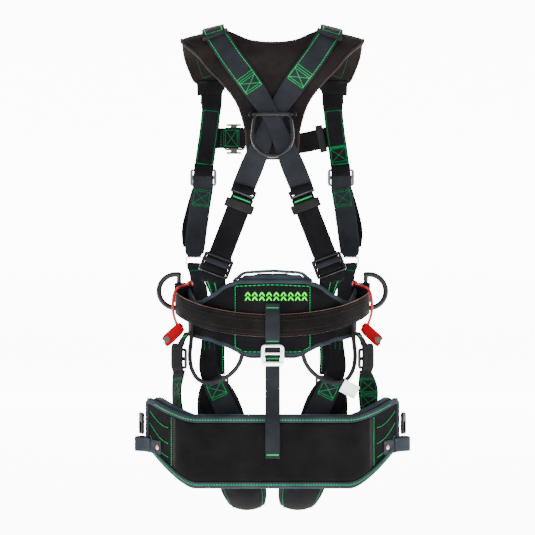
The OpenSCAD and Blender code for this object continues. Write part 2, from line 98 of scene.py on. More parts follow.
def smooth(points, n):
    """A curve through every point (numbers or vectors), with n steps between neighbours."""
    out = []
    last = len(points) - 1
    for i in range(last):
        a, b = points[max(i - 1, 0)], points[i]
        c, d = points[i + 1], points[min(i + 2, last)]
        for k in range(n):
            t = k / n
            out.append((b * 2 + (c - a) * t + (a * 2 - b * 5 + c * 4 - d) * (t * t)
                        + (b * 3 - a - c * 3 + d) * (t * t * t)) * 0.5)
    return out + [points[last]]


def vectors(points):
    return [Vector(p) for p in points]


def flip(points):
    return [Vector((-p[0], p[1], p[2])) for p in points]


def table(x, rows):
    if x <= rows[0][0]:
        return rows[0][1]
    for (x0, y0), (x1, y1) in zip(rows, rows[1:]):
        if x <= x1:
            t = (x - x0) / (x1 - x0)
            return mix(y0, y1, t * t * (3 - 2 * t) * 0.5 + t * 0.5)
    return rows[-1][1]


TO_BACK, TO_FRONT = Vector((0, -1, 0)), Vector((0, 1, 0))
SHOULDER_Y, SHOULDER_Z = 109, 137
SHOULDER_REACH, SHOULDER_RISE = 85, 89
SLOPE_FROM, SHOULDER_SLOPE = 90, 0.25


def torso(x, t, d):
    """A point on the yoke: t below 0 is down the back, 0 to 180 over the shoulder, above 180 down the front."""
    reach = SHOULDER_REACH + d
    rise = SHOULDER_RISE + d - SHOULDER_SLOPE * max(abs(x) - SLOPE_FROM, 0)
    if t < 0:
        return Vector((x, SHOULDER_Y - reach, SHOULDER_Z + t))
    if t > 180:
        return Vector((x, SHOULDER_Y + reach, SHOULDER_Z + 180 - t))
    a = math.radians(t)
    return Vector((x, SHOULDER_Y - reach * math.cos(a), SHOULDER_Z + rise * math.sin(a)))


def torso_out(t, x=0.0):
    a = math.radians(min(max(t, 0), 180))
    lean = math.copysign(SHOULDER_SLOPE * math.sin(a), x) if abs(x) > SLOPE_FROM else 0
    return Vector((lean, -math.cos(a), math.sin(a))).normalized()


WAIST_A, WAIST_B, WAIST_Y = 166, 135, 100


def waist(phi, z, d):
    a = math.radians(phi)
    return Vector(((WAIST_A + d) * math.sin(a), WAIST_Y - (WAIST_B + d) * math.cos(a), z))


def waist_out(phi):
    a = math.radians(phi)
    return Vector((math.sin(a), -math.cos(a), 0))


SEAT_Y, SEAT_FLAT, WING = -75, 150, 97


def wing(x):
    return max(abs(x) - SEAT_FLAT, 0) / WING


def seat_line(x):
    return SEAT_Y + 90 * wing(x) ** 1.7


def seat_out(x):
    s = (seat_line(x + 1) - seat_line(x - 1)) / 2
    return Vector((s, -1, 0)).normalized()


def seat(x, z, d):
    return Vector((x, seat_line(x), z)) + seat_out(x) * d


def seat_top(x):
    return -538 + 32 * wing(x) ** 1.3


def seat_bottom(x):
    return -675 + 70 * wing(x) ** 1.3


# ---------------------------------------------------------------- mesh building

class Geo:
    """Collects vertices, faces and their texture places, then becomes one object."""

    def __init__(self):
        self.v, self.f, self.uv = [], [], []

    def grid(self, rings, uvs=None, closed=True, caps=True, loop=False):
        """A skin through rings of points. closed joins each ring's ends, loop the last ring to the first."""
        base, m, n = len(self.v), len(rings), len(rings[0])
        for ring in rings:
            self.v.extend(ring)
        for i in range(m if loop else m - 1):
            for k in range(n if closed else n - 1):
                i2, k2 = (i + 1) % m, (k + 1) % n
                self.f.append([base + i * n + k, base + i2 * n + k, base + i2 * n + k2, base + i * n + k2])
                if uvs:
                    u0, u1 = uvs[i], uvs[i + 1] if i + 1 < m else uvs[i]
                    self.uv.append([u0[k], u1[k], u1[k2], u0[k2]])
                else:
                    self.uv.append([(k / n, i / m), (k / n, (i + 1) / m), ((k + 1) / n, (i + 1) / m),
                                    ((k + 1) / n, i / m)])
        if caps and closed and not loop:
            for ring, order in ((0, range(n)), (m - 1, range(n - 1, -1, -1))):
                self.f.append([base + ring * n + k for k in order])
                self.uv.append([(0, 0)] * n)

    def add(self, other):
        base = len(self.v)
        self.v.extend(other.v)
        self.f.extend([[base + i for i in f] for f in other.f])
        self.uv.extend(other.uv)

    def mirrored(self):
        out = Geo()
        out.v = flip(self.v)
        out.f = [list(reversed(f)) for f in self.f]
        out.uv = [list(reversed(u)) for u in self.uv]
        return out

    def build(self, name, material, body=None, replaces=(), both=False, slot=None):
        if both:
            self.add(self.mirrored())
        mesh = bpy.data.meshes.new(name)
        mesh.from_pydata([p * MM for p in self.v], [], self.f)
        layer = mesh.uv_layers.new(name="UVMap")
        for poly, uv in zip(mesh.polygons, self.uv):
            poly.use_smooth = True
            for loop, place in zip(poly.loop_indices, uv):
                layer.data[loop].uv = place
        mesh.validate()
        obj = bpy.data.objects.new(name, mesh)
        bpy.context.collection.objects.link(obj)
        obj.data.materials.append(material)
        if body:
            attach(obj, body)
        slot = slot or SLOT_OF.get(material.name)
        if replaces:
            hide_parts(*replaces)
        return obj


class Strip:
    """Webbing or a pad along a route: its middle line, the way it faces and its width. faces is one
    direction, or one for each point of the route."""

    def __init__(self, route, faces, width, thick=2.2, n=8, ripple=0.0):
        self.p = smooth(vectors(route), n)
        self.face = smooth(vectors(faces if isinstance(faces, list) else [faces] * len(route)), n)
        self.w = smooth(width, n) if isinstance(width, list) else [width] * len(self.p)
        self.thick = thick
        self.ripple = ripple
        self.phase = random.uniform(0, 6)
        last = len(self.p) - 1
        self.s = [0.0]
        for a, b in zip(self.p, self.p[1:]):
            self.s.append(self.s[-1] + (b - a).length)
        self.length = self.s[-1]
        self.along, self.side = [], []
        for i in range(last + 1):
            along = (self.p[min(i + 1, last)] - self.p[max(i - 1, 0)]).normalized()
            face = (self.face[i] - along * self.face[i].dot(along)).normalized()
            self.face[i] = face
            self.along.append(along)
            self.side.append(along.cross(face))

    def half(self, s):
        """Half the width at s."""
        return self.w[min(range(len(self.s)), key=lambda q: abs(self.s[q] - s))] / 2

    def near(self, point):
        point = Vector(point)
        return min(zip(self.s, self.p), key=lambda q: (q[1] - point).length)[0]

    def at(self, s, u, lift=0.0):
        """The point s along, u across and lift above the middle of the webbing."""
        s = min(max(s, 0.0), self.length)
        i = max(k for k in range(len(self.s) - 1) if self.s[k] <= s) if s > 0 else 0
        t = (s - self.s[i]) / max(self.s[i + 1] - self.s[i], 1e-6)
        wave = self.ripple * math.sin(s * 0.045 + self.phase) * math.cos(u * 0.09 + self.phase)
        return (mix(self.p[i], self.p[i + 1], t) + mix(self.side[i], self.side[i + 1], t) * u
                + mix(self.face[i], self.face[i + 1], t) * (lift + wave))

    def on(self, s, u, lift=0.0):
        """As at, but lifted from the outer face."""
        return self.at(s, u, self.thick / 2 + lift)

    def under(self, s, u, lift=0.0):
        return self.at(s, u, -self.thick / 2 - lift)

    def webbing(self, geo, crown=0.0):
        """A flat woven section with round selvages."""
        step = 3.5
        across = (-1, -0.96, -0.72, -0.36, 0, 0.36, 0.72, 0.96, 1)
        shares = (0, 0.9, 1, 1, 1, 1, 1, 0.9, 0)
        upper = list(zip(across, shares))
        section = upper + [(a, -share) for a, share in reversed(upper[1:-1])]
        count = max(int(self.length / step), 3)
        rings, uvs = [], []
        for i in range(count + 1):
            s = self.length * i / count
            half = self.half(s)
            rings.append([self.at(s, a * half, self.thick / 2 * share + crown * (1 - a * a))
                          for a, share in section])
            uvs.append([(a * half * MM, s * MM) for a, share in section])
        geo.grid(rings, uvs)

    def cupped(self, s, cup):
        """How far the pad's edges turn in, most where it passes under the leg."""
        return cup * math.sin(math.pi * min(max(s / self.length, 0), 1)) ** 2

    def pillow(self, geo, power, cup, step=6.0, across=14, end=14.0):
        """A padded section that thins to its edges and ends."""
        count = max(int(self.length / step), 6)
        rings, uvs = [], []
        for i in range(count + 1):
            s = self.length * i / count
            e = min(s / end, (self.length - s) / end, 1)
            close = math.sqrt(max(1 - (1 - e) ** 2, 0)) * 0.85 + 0.15
            half = self.half(s) * (1 - 0.12 * (1 - e) ** 2)
            ring, uv = [], []
            for side in (1, -1):
                for j in range(across + 1):
                    a = (-1 + 2 * j / across) * side
                    if side == -1 and j in (0, across):
                        continue
                    a = math.sin(a * math.pi / 2)
                    h = self.thick / 2 * (1 - abs(a) ** power) ** 0.5 * close
                    ring.append(self.at(s, a * half, side * h - self.cupped(s, cup) * a * a))
                    uv.append(((a * half) * MM, s * MM))
            rings.append(ring)
            uvs.append(uv)
        geo.grid(rings, uvs)


def pillow(geo, at, stations, thick, across=16, power=6, ends=3):
    """A pad over a surface: at(i, w, d) is its point at station i, w from 0 to 1 across and d outside."""
    rings, uvs = [], []
    for i in range(stations):
        e = min(i, stations - 1 - i, ends) / ends
        close = math.sqrt(max(1 - (1 - e) ** 2, 0)) * 0.9 + 0.1
        ring, uv = [], []
        for side in (1, -1):
            for j in range(across + 1):
                if side == -1 and j in (0, across):
                    continue
                a = math.sin((-1 + 2 * j / across) * side * math.pi / 2)
                h = thick / 2 * (1 - abs(a) ** power) ** 0.5 * close
                ring.append(at(i, 0.5 + a / 2, side * h))
                uv.append((0.1 * (0.5 + a / 2), i * 0.006))
        rings.append(ring)
        uvs.append(uv)
    geo.grid(rings, uvs)


def sweep(geo, path, radius, up=(0, 1, 0), sides=12, closed=False, flat=1.0, caps=True, power=1.0):
    """A round or flattened bar along a path. flat is its size along up as a share of the other, and a low
    power makes it squarer."""
    n = len(path)
    rings, uvs, run = [], [], 0.0
    for i, p in enumerate(path):
        a = path[(i - 1) % n] if closed else path[max(i - 1, 0)]
        b = path[(i + 1) % n] if closed else path[min(i + 1, n - 1)]
        along = (b - a).normalized()
        toward = Vector(up[i] if isinstance(up, list) else up)
        u = toward - along * along.dot(toward)
        u = u.normalized() if u.length > 1e-4 else Vector((0, 0, 1))
        v = along.cross(u)
        r = radius(i / (n - 1)) if callable(radius) else radius
        ring, uv = [], []
        for k in range(sides):
            t = 2 * math.pi * k / sides
            c, s = math.cos(t), math.sin(t)
            c, s = math.copysign(abs(c) ** power, c), math.copysign(abs(s) ** power, s)
            ring.append(p + v * (r * c) + u * (r * flat * s))
            uv.append((r * t * MM, run * MM))
        rings.append(ring)
        uvs.append(uv)
        run += (b - a).length / 2
    geo.grid(rings, uvs, caps=caps, loop=closed)


def lathe(geo, profile, place, axis, sides=28):
    """A turned piece: profile is [radius, height] pairs from its foot up the axis."""
    axis = Vector(axis).normalized()
    side = axis.cross(Vector((0, 0, 1)))
    side = side.normalized() if side.length > 1e-3 else Vector((1, 0, 0))
    other = axis.cross(side)
    rings = [[Vector(place) + axis * h + (side * math.cos(2 * math.pi * k / sides)
              + other * math.sin(2 * math.pi * k / sides)) * r for k in range(sides)] for r, h in profile]
    geo.grid(rings)


def frame_at(place, up=(0, 0, 1), inward=(0, 1, 0)):
    """Where a flat fitting lies: its X across, its Y up along the webbing and its Z out of the face."""
    z = Vector(up).normalized()
    y = Vector(inward)
    y = (y - z * y.dot(z)).normalized()
    x = y.cross(z)
    m = Matrix((x, z, -y)).transposed().to_4x4()
    m.translation = Vector(place)
    return m


def rounded(w, h, r, steps=6, centre=(0, 0)):
    out = []
    for cx, cy, a0 in ((1, 1, 0), (-1, 1, 90), (-1, -1, 180), (1, -1, 270)):
        for k in range(steps + 1):
            a = math.radians(a0 + 90 * k / steps)
            out.append((centre[0] + cx * (w / 2 - r) + r * math.cos(a),
                        centre[1] + cy * (h / 2 - r) + r * math.sin(a)))
    return out


def plate(geo, outline, holes, thick, bevel, place):
    """A flat fitting with round edges, from an outline with holes, thick through and laid at place."""
    curve = bpy.data.curves.new("plate", "CURVE")
    curve.dimensions = "2D"
    curve.fill_mode = "BOTH"
    curve.extrude = thick / 2 - bevel
    curve.bevel_depth = bevel
    curve.bevel_resolution = 2
    curve.offset = -bevel
    for loop in [outline] + list(holes):
        spline = curve.splines.new("POLY")
        spline.points.add(len(loop) - 1)
        for point, (x, y) in zip(spline.points, loop):
            point.co = (x, y, 0, 1)
        spline.use_cyclic_u = True
    obj = bpy.data.objects.new("plate", curve)
    bpy.context.collection.objects.link(obj)
    graph = bpy.context.evaluated_depsgraph_get()
    mesh = bpy.data.meshes.new_from_object(obj.evaluated_get(graph))
    base = len(geo.v)
    local = [v.co.copy() for v in mesh.vertices]
    geo.v.extend([place @ v for v in local])
    for poly in mesh.polygons:
        geo.f.append([base + i for i in poly.vertices])
        geo.uv.append([(local[i].x * MM, local[i].y * MM) for i in poly.vertices])
    bpy.data.objects.remove(obj)
    bpy.data.curves.remove(curve)
    bpy.data.meshes.remove(mesh)


def weld(obj, distance=0.02):
    """Joins the seams that a plate's caps leave."""
    mod = obj.modifiers.new("weld", "WELD")
    mod.merge_threshold = distance * MM


# ---------------------------------------------------------------- stitching

DASH, SKIP, THREAD_R = 3.9, 1.1, 0.72


def dash(geo, a, b, normal, r=THREAD_R):
    along = (b - a).normalized()
    side = along.cross(normal).normalized()
    up = side.cross(along)
    mid = (a + b) / 2 + up * r * 0.25
    rings = []
    for p, k in ((a, 0.45), (mix(a, mid, 0.45), 1.0), (mix(b, mid, 0.45), 1.0), (b, 0.45)):
        rings.append([p + side * (r * k * math.cos(q)) + up * (0.75 * r * k * math.sin(q)) for q in
                      (0, 1.047, 2.094, 3.1416, 4.189, 5.236)])
    geo.grid(rings)


def seam(geo, on, points, size=DASH, skip=SKIP, r=THREAD_R, lift=0.25):
    """A row of stitches along straight runs between points given as places on a surface on(a, b, lift)."""
    for (a0, b0), (a1, b1) in zip(points, points[1:]):
        def place(t, above=lift):
            return on(mix(a0, a1, t), mix(b0, b1, t), above)
        trail = [place(k / 12) for k in range(13)]
        count = max(int(sum((q - p).length for p, q in zip(trail, trail[1:])) / (size + skip)), 1)
        for k in range(count):
            start = (k + 0.5 * skip / (size + skip)) / count
            p, q = place(start), place(start + size / (size + skip) / count)
            if (q - p).length > 0.2:
                dash(geo, p, q, place(start, lift + 1) - p, r)


def tack(geo, on, s, u0, u1, height=2.6, r=0.55):
    """A bar tack: close zigzag stitches across the webbing at s."""
    count = max(int(abs(u1 - u0) / 0.95), 3)
    for k in range(count):
        u = mix(u0, u1, k / count)
        step = (u1 - u0) / count
        p, q = on(s - height / 2, u, 0.3), on(s + height / 2, u + step, 0.3)
        dash(geo, p, q, on(s, u, 1.3) - on(s, u, 0.3), r)


def cross_box(geo, on, s0, s1, u0, u1, double=3.6):
    """The box with a cross in it that holds two layers of webbing."""
    ends = s0 + double, s1 - double
    for row in ([(s0, u0), (s1, u0), (s1, u1), (s0, u1), (s0, u0)], [(ends[0], u0), (ends[0], u1)],
                [(ends[1], u0), (ends[1], u1)], [(ends[0], u0), (ends[1], u1)],
                [(ends[0], u1), (ends[1], u0)]):
        seam(geo, on, row, size=2.9, skip=0.5, r=0.62)


# ---------------------------------------------------------------- materials

def material(name, base, varied, rough, metallic=0.0, patch=22, grain=1400, depth=0.12, weave=None,
             cells=None, specular=None, brushed=False):
    """A procedural surface: colour and roughness vary in patches, with fine grain, and a weave of the
    given pitch in millimetres across and along, or leather cells of the given size."""
    mat = bpy.data.materials.new(name)
    mat.use_nodes = True
    nodes, link = mat.node_tree.nodes, mat.node_tree.links.new

    def add(kind, vector=None, **inputs):
        node = nodes.new("ShaderNode" + kind)
        for key, value in inputs.items():
            node.inputs[key.replace("_", " ")].default_value = value
        if vector:
            link(vector, node.inputs["Vector"])
        return node

    def multiply_add(a, b, c):
        node = add("Math")
        node.operation = "MULTIPLY_ADD"
        for given, place in zip((a, b, c), node.inputs):
            if isinstance(given, float):
                place.default_value = given
            else:
                link(given, place)
        return node.outputs["Value"]

    shader = nodes["Principled BSDF"]
    shader.inputs["Metallic"].default_value = metallic
    if specular is None:
        specular = 0.5 if metallic else 0.015
    shader.inputs["Specular IOR Level"].default_value = specular
    coords = add("TexCoord").outputs
    patches = add("TexNoise", coords["Object"], Scale=patch, Detail=5).outputs["Fac"]
    ramp = add("ValToRGB")
    for element, position, colour in zip(ramp.color_ramp.elements, (0.35, 0.68), (base, varied)):
        element.position, element.color = position, (*colour, 1)
    link(patches, ramp.inputs["Fac"])
    link(ramp.outputs["Color"], shader.inputs["Base Color"])
    gloss = add("MapRange", To_Min=rough - 0.08, To_Max=rough + 0.1)
    link(patches, gloss.inputs["Value"])
    link(gloss.outputs["Result"], shader.inputs["Roughness"])
    spread = coords["Object"]
    if brushed:
        spread = add("Mapping", spread, Scale=(0.04, 1, 1)).outputs["Vector"]
    height = fine = add("TexNoise", spread, Scale=grain, Detail=3).outputs["Fac"]
    if weave:
        bands = []
        for axis, pitch in zip("XY", weave):
            wave = add("TexWave", coords["UV"], Scale=2 * math.pi / 20 / (pitch * MM), Distortion=0.4)
            wave.bands_direction = axis
            bands.append(wave.outputs["Fac"])
        height = multiply_add(*bands, fine)
    if cells:
        leather = add("TexVoronoi", coords["Object"], Scale=1 / (cells * MM))
        leather.feature = "DISTANCE_TO_EDGE"
        height = multiply_add(leather.outputs["Distance"], 1.6, fine)
    bump = add("Bump", Distance=depth * MM, Strength=0.8)
    link(height, bump.inputs["Height"])
    link(bump.outputs["Normal"], shader.inputs["Normal"])
    return mat


BRUSHED_PAD = material("brushed pad cloth", (0.0042, 0.0034, 0.0032), (0.0077, 0.0064, 0.0060), 0.85,
                       grain=2600)
PAD_EDGE = material("pad edge binding", (0.0070, 0.0052, 0.0048), (0.0126, 0.0095, 0.0087), 0.75, grain=1900)
SLATE_WEB = material("slate webbing", (0.0060, 0.0067, 0.0082), (0.0096, 0.0106, 0.0128), 0.6,
                     weave=(1.5, 1.1), depth=0.2)
SLATE_TAPE = material("light slate webbing", (0.0105, 0.0130, 0.0160), (0.0170, 0.0200, 0.0235), 0.65,
                      weave=(1.5, 1.1), depth=0.2)
BLACK_WEB = material("black webbing", (0.0020, 0.0020, 0.0025), (0.0036, 0.0036, 0.0043), 0.62,
                     weave=(1.5, 1.1), depth=0.2)
BLACK_CLOTH = material("black pad cloth", (0.0020, 0.0020, 0.0024), (0.0038, 0.0038, 0.0043), 0.8, grain=2200)
SLATE_EDGE = material("slate edge binding", (0.0085, 0.0115, 0.0148), (0.0140, 0.0183, 0.0226), 0.7,
                      grain=1800)
SLATE_PAD = material("slate pad cloth", (0.0078, 0.0108, 0.0140), (0.0126, 0.0170, 0.0214), 0.78, grain=2000)
ELASTIC = material("elastic band", (0.0062, 0.0059, 0.0061), (0.0105, 0.0100, 0.0102), 0.8,
                   weave=(1.0, 1.2), depth=0.1)
LEATHER = material("black leather", (0.0020, 0.0017, 0.0017), (0.0040, 0.0034, 0.0033), 0.55, cells=1.6,
                   depth=0.2)
TAN = material("raw leather edge", (0.11, 0.06, 0.04), (0.17, 0.10, 0.07), 0.7, grain=2400)
SEAT_SKIN = material("smooth seat leather", (0.0017, 0.0016, 0.0016), (0.0032, 0.0030, 0.0030), 0.48,
                     cells=2.0, depth=0.14)
THREAD = material("green thread", (0.0, 0.150, 0.032), (0.0, 0.200, 0.046), 0.5, grain=3000, depth=0.2)
# Painted shade: a darker copy of the green thread for the front straps, front pads, sides and legs, so that
# their stitches look shaded
SHADED_THREAD = material("green thread in painted shade", (0.0, 0.060, 0.016), (0.0, 0.085, 0.024), 0.6, grain=3000,
                      depth=0.2)
BRIGHT_THREAD = material("bright green thread", (0.01, 0.40, 0.010), (0.015, 0.50, 0.014), 0.5,
                         grain=3000, depth=0.2)
DULL_THREAD = material("dark thread", (0.0075, 0.0070, 0.0070), (0.0125, 0.0115, 0.0115), 0.6, grain=3000)
BLACK_STEEL = material("black coated steel", (0.0024, 0.0024, 0.0029), (0.0048, 0.0048, 0.0056), 0.26,
                       grain=700, depth=0.05, specular=0.12)
BLACK_PLASTIC = material("moulded black plastic", (0.0025, 0.0025, 0.0028), (0.0045, 0.0045, 0.0049),
                         0.42, grain=2600)
GREY_STEEL = material("grey plated steel", (0.060, 0.067, 0.076), (0.090, 0.099, 0.110), 0.38,
                      metallic=0.9, brushed=True)
DARK_STEEL = material("dark plated steel", (0.024, 0.025, 0.029), (0.038, 0.040, 0.045), 0.38,
                      metallic=0.9, brushed=True)
SILVER = material("silver alloy", (0.66, 0.67, 0.68), (0.78, 0.79, 0.80), 0.27, metallic=1, brushed=True,
                  depth=0.06)
OLIVE_ALLOY = material("olive alloy", (0.020, 0.025, 0.016), (0.031, 0.037, 0.025), 0.42, metallic=0.6,
                       grain=900, depth=0.08)
RED_WEB = material("red webbing", (0.12, 0.0, 0.002), (0.17, 0.0, 0.003), 0.55, weave=(1.4, 1.1), depth=0.2)
RUBBER = material("gear loop tube", (0.0085, 0.0085, 0.0095), (0.0150, 0.0150, 0.0165), 0.5, grain=1500)
LABEL = material("label cloth", (0.74, 0.74, 0.72), (0.82, 0.82, 0.80), 0.7, weave=(0.9, 0.9))
COPPER = material("copper rivet", (0.42, 0.20, 0.11), (0.55, 0.28, 0.16), 0.32, metallic=1, grain=800,
                  depth=0.05)

SLOTS = {"webbing_slate": (SLATE_WEB, SLATE_TAPE), "webbing_black": (BLACK_WEB,),
         "red_webbing": (RED_WEB,), "pad_fabric": (BRUSHED_PAD, PAD_EDGE, BLACK_CLOTH),
         "binding": (SLATE_EDGE, SLATE_PAD), "elastic": (ELASTIC,), "leather": (LEATHER, TAN, SEAT_SKIN),
         "thread": (THREAD, SHADED_THREAD, BRIGHT_THREAD, DULL_THREAD), "black_steel": (BLACK_STEEL,),
         "grey_steel": (GREY_STEEL, DARK_STEEL), "silver_alloy": (SILVER,),
         "black_plastic": (BLACK_PLASTIC,), "gear_tube": (RUBBER,), "label_fabric": (LABEL,),
         "copper": (COPPER,)}
SLOT_OF = {mat.name: slot for slot, mats in SLOTS.items() for mat in mats}

floor_mat = material("floor", (0.88, 0.88, 0.88), (0.90, 0.90, 0.90), 0.85, patch=2, grain=60, depth=0.1)
floor_shader = floor_mat.node_tree.nodes["Principled BSDF"]
floor_shader.inputs["Emission Color"].default_value = (1, 1, 1, 1)
floor_shader.inputs["Emission Strength"].default_value = 7.5
floor_geo = Geo()
BEND, WALL = 900, 6500
section = [(-9000, -1050), (WALL - BEND, -1050)]
section += [(WALL - BEND + BEND * math.sin(math.radians(a)), BEND - 1050 - BEND * math.cos(math.radians(a)))
            for a in range(15, 90, 15)]
section += [(WALL, BEND - 1050), (WALL, 6500)]
floor_geo.grid([[Vector((x, y, z)) for x in (-14000, 14000)] for y, z in section], closed=False)
floor = floor_geo.build("floor", floor_mat)


def cad(material, *names, bevel=0.7):
    """Gives CAD pieces their finish, and rounds their corners a little."""
    for name in names:
        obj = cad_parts[name]
        obj.data.materials.clear()
        obj.data.materials.append(material)
        weld(obj, 0.01)
        if bevel:
            mod = obj.modifiers.new("soft corners", "BEVEL")
            mod.width = bevel * MM
            mod.segments = 2
            mod.limit_method = "ANGLE"
            mod.angle_limit = math.radians(38)
            mod.harden_normals = True


def fitting(name, node, mat, size, window_w, windows, place, body="root", both=True, bevel=1.3):
    """A flat frame with round edges in place of its CAD node: size is width, height, corner and thickness,
    and windows are pairs of middle and height."""
    w, h, corner, thick = size
    holes = [rounded(window_w, high, 1.6, 4, (0, middle)) for middle, high in windows]
    geo = Geo()
    plate(geo, rounded(w, h, corner), holes, thick, bevel, place)
    weld(geo.build(name, mat, body, [node], both))


def strap(name, route, faces, width, mat, body="root", replaces=(), thick=2.2, both=False, sew=None, n=8,
          slot=None, blend=None, crown=0.0, ripple=0.0, thread=THREAD):
    """Webbing with its stitching, one piece each, on one body, or on no body when a blend is given."""
    strip = Strip(route, faces, width, thick, n, ripple)
    geo = Geo()
    strip.webbing(geo, crown)
    rides = None if blend else body
    pieces = [geo.build(name, mat, rides, replaces, both, slot)]
    if sew:
        stitches = Geo()
        sew(stitches, strip)
        pieces.append(stitches.build(name + "_stitching", thread, rides, both=both))
    if blend:
        start, end = (tuple(Vector(q) * MM) for q in blend[2:])
        for piece in pieces:
            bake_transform(piece)
            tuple(start)
            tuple(end)


def edge_lines(geo, strip, s0, s1, inset=4.4, on=None, step=30):
    on = on or strip.on
    count = max(int(abs(s1 - s0) / step), 1)
    for sign in (-1, 1):
        spots = [mix(s0, s1, k / count) for k in range(count + 1)]
        seam(geo, on, [(s, sign * (strip.half(s) - inset)) for s in spots])


def two_sides(strip, draw):
    """Draws the same stitches on both faces, as they go through the webbing."""
    draw(strip.on)
    draw(strip.under)


# ---------------------------------------------------------------- soft pads

def puff(obj, cap, pressure=4.0, voxel=5.0, frames=20):
    """Fills a pad by cloth simulation: it swells under pressure, and no point moves further than cap mm."""
    remesh = obj.modifiers.new("remesh", "REMESH")
    remesh.mode = "VOXEL"
    remesh.voxel_size = voxel * MM
    remesh.use_smooth_shade = True
    bpy.context.view_layer.objects.active = obj
    bpy.ops.object.modifier_apply(modifier="remesh")
    before = [v.co.copy() for v in obj.data.vertices]
    cloth = obj.modifiers.new("fill", "CLOTH")
    cloth.settings.use_pressure = True
    cloth.settings.uniform_pressure_force = pressure
    cloth.settings.quality = 5
    cloth.settings.effector_weights.gravity = 0
    cloth.settings.tension_stiffness = 20
    cloth.settings.compression_stiffness = 20
    cloth.settings.bending_stiffness = 0.6
    cloth.point_cache.frame_start, cloth.point_cache.frame_end = 1, frames
    for number in range(1, frames + 1):
        bpy.context.scene.frame_set(number)
    graph = bpy.context.evaluated_depsgraph_get()
    filled = bpy.data.meshes.new_from_object(obj.evaluated_get(graph))
    obj.modifiers.clear()
    for vertex, after, start in zip(obj.data.vertices, filled.vertices, before):
        move = after.co - start
        far = move.length
        vertex.co = start + (move * (cap * MM / far) if far > cap * MM else move)
    bpy.data.meshes.remove(filled)
    bpy.context.scene.frame_set(1)
    smoother = obj.modifiers.new("smoother", "SUBSURF")
    smoother.levels = smoother.render_levels = 1
    bpy.ops.object.modifier_apply(modifier="smoother")


def pad(name, geo, mat, body, replaces, cap=0.0):
    """A padded piece, filled by simulation where a cap is given."""
    obj = geo.build(name, mat, None, replaces)
    if cap:
        puff(obj, cap)
    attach(obj, body)
    return obj


def binding(name, loop, outward, mat, body="root", wide=2.6, high=3.4):
    """Folded tape round the edge of a pad."""
    geo = Geo()
    sweep(geo, loop, wide, up=outward, sides=12, closed=True, flat=high / wide, power=0.8)
    geo.build(name, mat, body)


# ---------------------------------------------------------------- yoke

PAD_T, PLATE_T, WEB_T, GAP = 10, 3, 2.2, 0.5
ON_PAD = PAD_T / 2 + GAP + WEB_T / 2 + 1.2
YOKE_INNER = [(-100, 187), (-99, 176), (-96, 135), (-93, 90), (-91, 62), (-74, 50), (-50, 39), (-26, 35),
              (-10, 34), (-4, 34), (0, 34)]
YOKE_OUTER = [(-157, 187), (-167, 176), (-181, 140), (-182, 95), (-178, 52), (-136, 8), (-94, -35),
              (-68, -72), (-53, -120), (-44, -172), (0, -179)]


def yoke_edge(edge):
    half = smooth(vectors(edge), 6)
    return half + [Vector((-q[0], q[1])) for q in reversed(half[:-1])]


inner, outer = yoke_edge(YOKE_INNER), yoke_edge(YOKE_OUTER)


def yoke_at(i, w, d):
    q = mix(outer[i], inner[i], w)
    return torso(q[0], q[1], d)


geo = Geo()
pillow(geo, yoke_at, len(inner), PAD_T - 0.6, across=18, power=9, ends=3)
pad("yoke_pad", geo, BRUSHED_PAD, "root", ["back_pad"])
edge_loop = inner + list(reversed(outer))
binding("yoke_binding", [torso(q[0], q[1], 0) for q in edge_loop], [torso_out(q[1], q[0]) for q in edge_loop],
        PAD_EDGE, wide=2.8, high=4.6)

def edge_row(edge, other, inset, size=3.0):
    """A row of fine stitches just inside the binding."""
    geo = Geo()
    line = []
    for q, far in zip(edge, other):
        toward = torso(far[0], far[1], 0) - torso(q[0], q[1], 0)
        share = inset / max(toward.length, 1)
        line.append(mix(q, far, share))
    for a, b in zip(line, line[1:]):
        p, q = torso(a[0], a[1], PAD_T / 2 + 0.1), torso(b[0], b[1], PAD_T / 2 + 0.1)
        count = max(int((q - p).length / (size + 1.2)), 1)
        for k in range(count):
            dash(geo, mix(p, q, (k + 0.15) / count), mix(p, q, (k + 0.85) / count), torso_out(a[1], a[0]),
                 0.45)
    return geo


geo = edge_row(inner, outer, 7.0)
geo.add(edge_row(outer, inner, 7.0))
geo.build("yoke_binding_stitches", DULL_THREAD, "root")

# The front pads show their lining, with a stitched U, and end in folded webbing.
geo = Geo()
seam(geo, lambda x, t, lift: torso(x, t, -PAD_T / 2 - lift),
     [(-157, 143), (-152, 160), (-146, 174), (-143, 178), (-122, 172), (-104, 170)], 2.6, 1.5, 0.6)
geo.build("front_pad_stitches", SHADED_THREAD, "root", both=True)
strap("front_pad_ends", [(-129, 191.5, 136), (-129, 192.5, 127), (-128.5, 194, 118), (-128, 197, 108)],
      TO_FRONT, [56, 58, 56, 48], BLACK_CLOTH, thick=7, slot="webbing_black", both=True, crown=0.8,
      ripple=0.8)
for name, x, low, wide in (("outer", -152, 104, 10), ("inner", -103.5, 115, 9)):
    strap("front_pad_tab_" + name, [(x, 195, 126), (x - 0.5, 196, (126 + low) / 2), (x, 197, low)], TO_FRONT,
          wide, BLACK_WEB, thick=3, both=True)
strap("front_pad_necks", [(-126, 198.4, 112), (-126.6, 199.2, 98), (-127.5, 199, 76)], TO_FRONT, 42,
      BLACK_WEB, both=True)

OVER_PLATE = PAD_T / 2 + GAP + PLATE_T + GAP + WEB_T / 2
OVER_STRAP = OVER_PLATE + WEB_T + GAP
CROSS_HIGH = [(-128, 231, ON_PAD), (-127, 200, ON_PAD + 0.6), (-126, 160, ON_PAD + 2),
              (-124, 120, ON_PAD + 0.6), (-121, 85, ON_PAD), (-116, 55, ON_PAD), (-100, 30, ON_PAD + 1.4),
              (-80, 10, ON_PAD + 0.8), (-44, -32, ON_PAD + 1)]
CROSS_LOW = [(-17, -73), (2, -105), (20, -147), (38, -190)]


